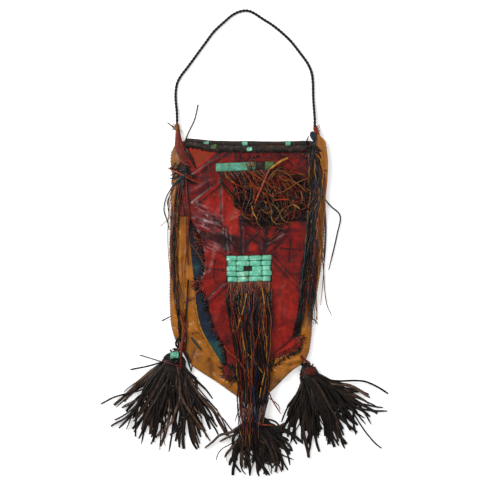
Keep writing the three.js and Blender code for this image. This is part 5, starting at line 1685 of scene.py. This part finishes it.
def make_stage(sizes):
    """The pale floor, the soft studio light and the camera straight above the bag."""
    scene = bpy.context.scene
    scene.view_settings.view_transform = "Standard"
    bpy.ops.mesh.primitive_plane_add(size=FLOOR_SIZE, location=(0, 0, FLOOR_Z))
    floor = bpy.context.object
    floor.name = "floor"
    paper = bpy.data.materials.new("matt_white_paper")
    paper.use_nodes = True
    tree = paper.node_tree
    tree.nodes.clear()
    rays = add_node(tree, "ShaderNodeLightPath", output="Is Camera Ray").node.outputs
    seen = maths(tree, "ADD", rays["Is Camera Ray"], rays["Is Glossy Ray"])
    seen = maths(tree, "ADD", seen, rays["Is Transmission Ray"])
    glow = maths(tree, "MULTIPLY", seen, sizes.floor_glow)
    glow = add_node(tree, "ShaderNodeEmission", {"Color": WHITE, "Strength": glow})
    matt = add_node(tree, "ShaderNodeBsdfDiffuse", {"Color": tuple(scene.saddle_bag_colours.floor)})
    both = add_node(tree, "ShaderNodeAddShader", {"Shader": matt, "Shader_001": glow})
    add_node(tree, "ShaderNodeOutputMaterial", {"Surface": both})
    floor.data.materials.append(paper)
    world = bpy.data.worlds.new("studio_fill")
    world.use_nodes = True
    backdrop = world.node_tree.nodes["Background"].inputs
    backdrop["Color"].default_value = WHITE
    backdrop["Strength"].default_value = sizes.fill_light
    scene.world = world
    for label, (place, size, share) in SOFTBOXES.items():
        lamp = bpy.data.lights.new(label, "AREA")
        lamp.energy = share * sizes.key_light
        lamp.size = size
        holder = placed(label, lamp)
        holder.location = place
        holder.rotation_euler = (-holder.location).to_track_quat("-Z", "Y").to_euler()
    camera = bpy.data.cameras.new("camera")
    camera.lens = CAMERA_LENS
    scene.camera = placed("camera", camera)
    scene.camera.location = CAMERA_PLACE


def colour_prop(label, description, code):
    """A colour that a user may change, given as an sRGB hex colour."""
    return bpy.props.FloatVectorProperty(
        name=label, description=description, subtype="COLOR", size=4, min=0.0, max=1.0, default=linear(code))


class SaddleBagColours(bpy.types.PropertyGroup):
    """Dyes of the leathers."""
    tan_hide: colour_prop("Tan hide", "Goatskin of the bag's front and back", "#9a5b0d")
    red_hide: colour_prop("Red hide", "Main red of the front panel", "#7b130b")
    # A pale colour mixed in as painted sheen on the front panel's crushed places.
    painted_sheen_red: colour_prop("Rubbed red", "Crushed places of the front panel, streaked with painted sheen", "#cb9a9e")
    orange_field: colour_prop("Orange field", "Lightest field of the front panel", "#7d2b0b")
    purple_field: colour_prop("Purple field", "Darkest field of the front panel", "#470f13")
    line_dye: colour_prop("Line dye", "Drawn lines and dark edges", "#220e12")
    russet_strap: colour_prop("Russet strap", "Straps and tabs of brown-red leather", "#661f12")
    black_hide: colour_prop("Black hide", "Bindings and dark borders", "#231711")
    indigo_hide: colour_prop("Indigo hide", "Blue borders", "#071c32")
    teal_hide: colour_prop("Teal hide", "Rubbed ends of the blue borders", "#114543")
    turquoise_hide: colour_prop("Turquoise hide", "Bar, plaque and small tabs", "#62b598")
    rubbed_turquoise: colour_prop("Rubbed turquoise", "Palest places of the turquoise leather", "#b4e3cb")
    olive_stain: colour_prop("Olive stain", "Stains on the turquoise leather", "#7d7433")
    green_hide: colour_prop("Green hide", "Green end of the bar", "#3f5a31")
    tassel_strips: colour_prop("Tassel strips", "Cut strips of the tassels", "#1c120c")
    cord: colour_prop("Cord", "Carrying cord", "#150b12")
    black_thong: colour_prop("Black thong", "Thongs of the fringes", "#080607")
    brown_thong: colour_prop("Brown thong", "Thongs of the fringes", "#20120b")
    russet_thong: colour_prop("Russet thong", "Thongs of the fringes", "#6b1f12")
    red_thong: colour_prop("Red thong", "Thongs of the fringes", "#963818")
    tan_thong: colour_prop("Tan thong", "Thongs of the fringes", "#845020")
    ochre_thong: colour_prop("Ochre thong", "Thongs of the fringes", "#b37a2a")
    navy_thong: colour_prop("Navy thong", "Thongs of the fringes", "#0c1634")
    teal_thong: colour_prop("Teal thong", "Thongs of the fringes", "#0d383e")
    floor: colour_prop("Floor", "Paper that the bag lies on", "#f2f2f2")


def length_prop(label, description, default):
    """A length that a user may change, in metres."""
    return bpy.props.FloatProperty(name=label, description=description, default=default, unit="LENGTH")


def count_prop(label, description, default):
    """A number of pieces that a user may change."""
    return bpy.props.IntProperty(name=label, description=description, default=default)


def amount_prop(label, description, default):
    """A strength that a user may change."""
    return bpy.props.FloatProperty(name=label, description=description, default=default)


class SaddleBagSizes(bpy.types.PropertyGroup):
    """Sizes and counts that a user would change."""
    cord_diameter: length_prop("Cord diameter", "Thickness of the carrying cord", 0.0042)
    cord_lay: length_prop("Cord lay", "Length of one turn of the cord's strands", 0.0115)
    thong_width: length_prop("Thong width", "Width of a rolled thong in the fringes", 0.0024)
    strip_width: length_prop("Strip width", "Width of a cut strip in the tassels", 0.0052)
    upper_thongs: count_prop("Upper thongs", "Thongs in the tangle below the bar", 360)
    plaque_thongs: count_prop("Plaque thongs", "Thongs that hang from the plaque", 180)
    fill_light: amount_prop("Fill light", "Strength of the even light all round", 0.2)
    key_light: amount_prop("Key light", "Power in watts that each softbox has its share of", 29.0)
    floor_glow: amount_prop("Floor glow", "Light that the floor adds to what the camera sees of it", 0.42)


class BagOperator:
    """What every operator here shares."""
    bl_options = {"REGISTER", "UNDO"}


class SADDLEBAG_OT_stage(BagOperator, bpy.types.Operator):
    """Add the floor, the lights and the camera"""
    bl_idname = "saddle_bag.stage"
    bl_label = "Stage"

    def execute(self, context):
        make_stage(context.scene.saddle_bag)
        return {"FINISHED"}


class SADDLEBAG_OT_cord(BagOperator, bpy.types.Operator):
    """Twist the carrying cord"""
    bl_idname = "saddle_bag.cord"
    bl_label = "Carrying cord"

    def execute(self, context):
        make_cord(context.scene.saddle_bag)
        make_cord_tabs()
        make_whippings()
        return {"FINISHED"}


class SADDLEBAG_OT_hides(BagOperator, bpy.types.Operator):
    """Make the tan back and front hides"""
    bl_idname = "saddle_bag.hides"
    bl_label = "Tan hides"

    def execute(self, context):
        make_hides()
        make_seams()
        return {"FINISHED"}


class SADDLEBAG_OT_front_panel(BagOperator, bpy.types.Operator):
    """Make the red front panel and the strips around it"""
    bl_idname = "saddle_bag.front_panel"
    bl_label = "Front panel"

    def execute(self, context):
        make_front_panel()
        make_borders()
        make_border_teeth()
        return {"FINISHED"}


class SADDLEBAG_OT_mouth(BagOperator, bpy.types.Operator):
    """Bind the mouth and add its tabs"""
    bl_idname = "saddle_bag.mouth"
    bl_label = "Mouth"

    def execute(self, context):
        make_mouth()
        return {"FINISHED"}


class SADDLEBAG_OT_dress(BagOperator, bpy.types.Operator):
    """Add the bar and the plaque"""
    bl_idname = "saddle_bag.dress"
    bl_label = "Bar and plaque"

    def execute(self, context):
        make_bar()
        make_plaque()
        return {"FINISHED"}


class SADDLEBAG_OT_fringes(BagOperator, bpy.types.Operator):
    """Hang the fringes"""
    bl_idname = "saddle_bag.fringes"
    bl_label = "Fringes"

    def execute(self, context):
        sizes = context.scene.saddle_bag
        make_upper_fringe(sizes)
        make_plaque_fringe(sizes)
        make_side_fringes(sizes)
        make_strap()
        return {"FINISHED"}


class SADDLEBAG_OT_tassels(BagOperator, bpy.types.Operator):
    """Hang the three tassels"""
    bl_idname = "saddle_bag.tassels"
    bl_label = "Tassels"

    def execute(self, context):
        make_tassels(context.scene.saddle_bag)
        return {"FINISHED"}


OPERATORS = (
    SADDLEBAG_OT_stage, SADDLEBAG_OT_cord, SADDLEBAG_OT_hides, SADDLEBAG_OT_front_panel, SADDLEBAG_OT_mouth,
    SADDLEBAG_OT_dress, SADDLEBAG_OT_fringes, SADDLEBAG_OT_tassels,
)


class SADDLEBAG_PT_panel(bpy.types.Panel):
    """The saddle bag's sizes and steps"""
    bl_label = "Saddle bag"
    bl_space_type = "VIEW_3D"
    bl_region_type = "UI"
    bl_category = "Saddle bag"

    def draw(self, context):
        for group in (context.scene.saddle_bag, context.scene.saddle_bag_colours):
            for label in group.bl_rna.properties.keys():
                if label not in ("rna_type", "name"):
                    self.layout.prop(group, label)
        for operator in OPERATORS:
            self.layout.operator(operator.bl_idname)


CLASSES = (SaddleBagSizes, SaddleBagColours, *OPERATORS, SADDLEBAG_PT_panel)


def register():
    for part in CLASSES:
        bpy.utils.register_class(part)
    bpy.types.Scene.saddle_bag = bpy.props.PointerProperty(type=SaddleBagSizes)
    bpy.types.Scene.saddle_bag_colours = bpy.props.PointerProperty(type=SaddleBagColours)


def unregister():
    del bpy.types.Scene.saddle_bag_colours
    del bpy.types.Scene.saddle_bag
    for part in reversed(CLASSES):
        bpy.utils.unregister_class(part)


def main():
    register()
    bpy.ops.saddle_bag.stage()
    bpy.ops.saddle_bag.cord()
    bpy.ops.saddle_bag.hides()
    bpy.ops.saddle_bag.front_panel()
    bpy.ops.saddle_bag.mouth()
    bpy.ops.saddle_bag.dress()
    bpy.ops.saddle_bag.fringes()
    bpy.ops.saddle_bag.tassels()


if __name__ == "__main__":
    main()
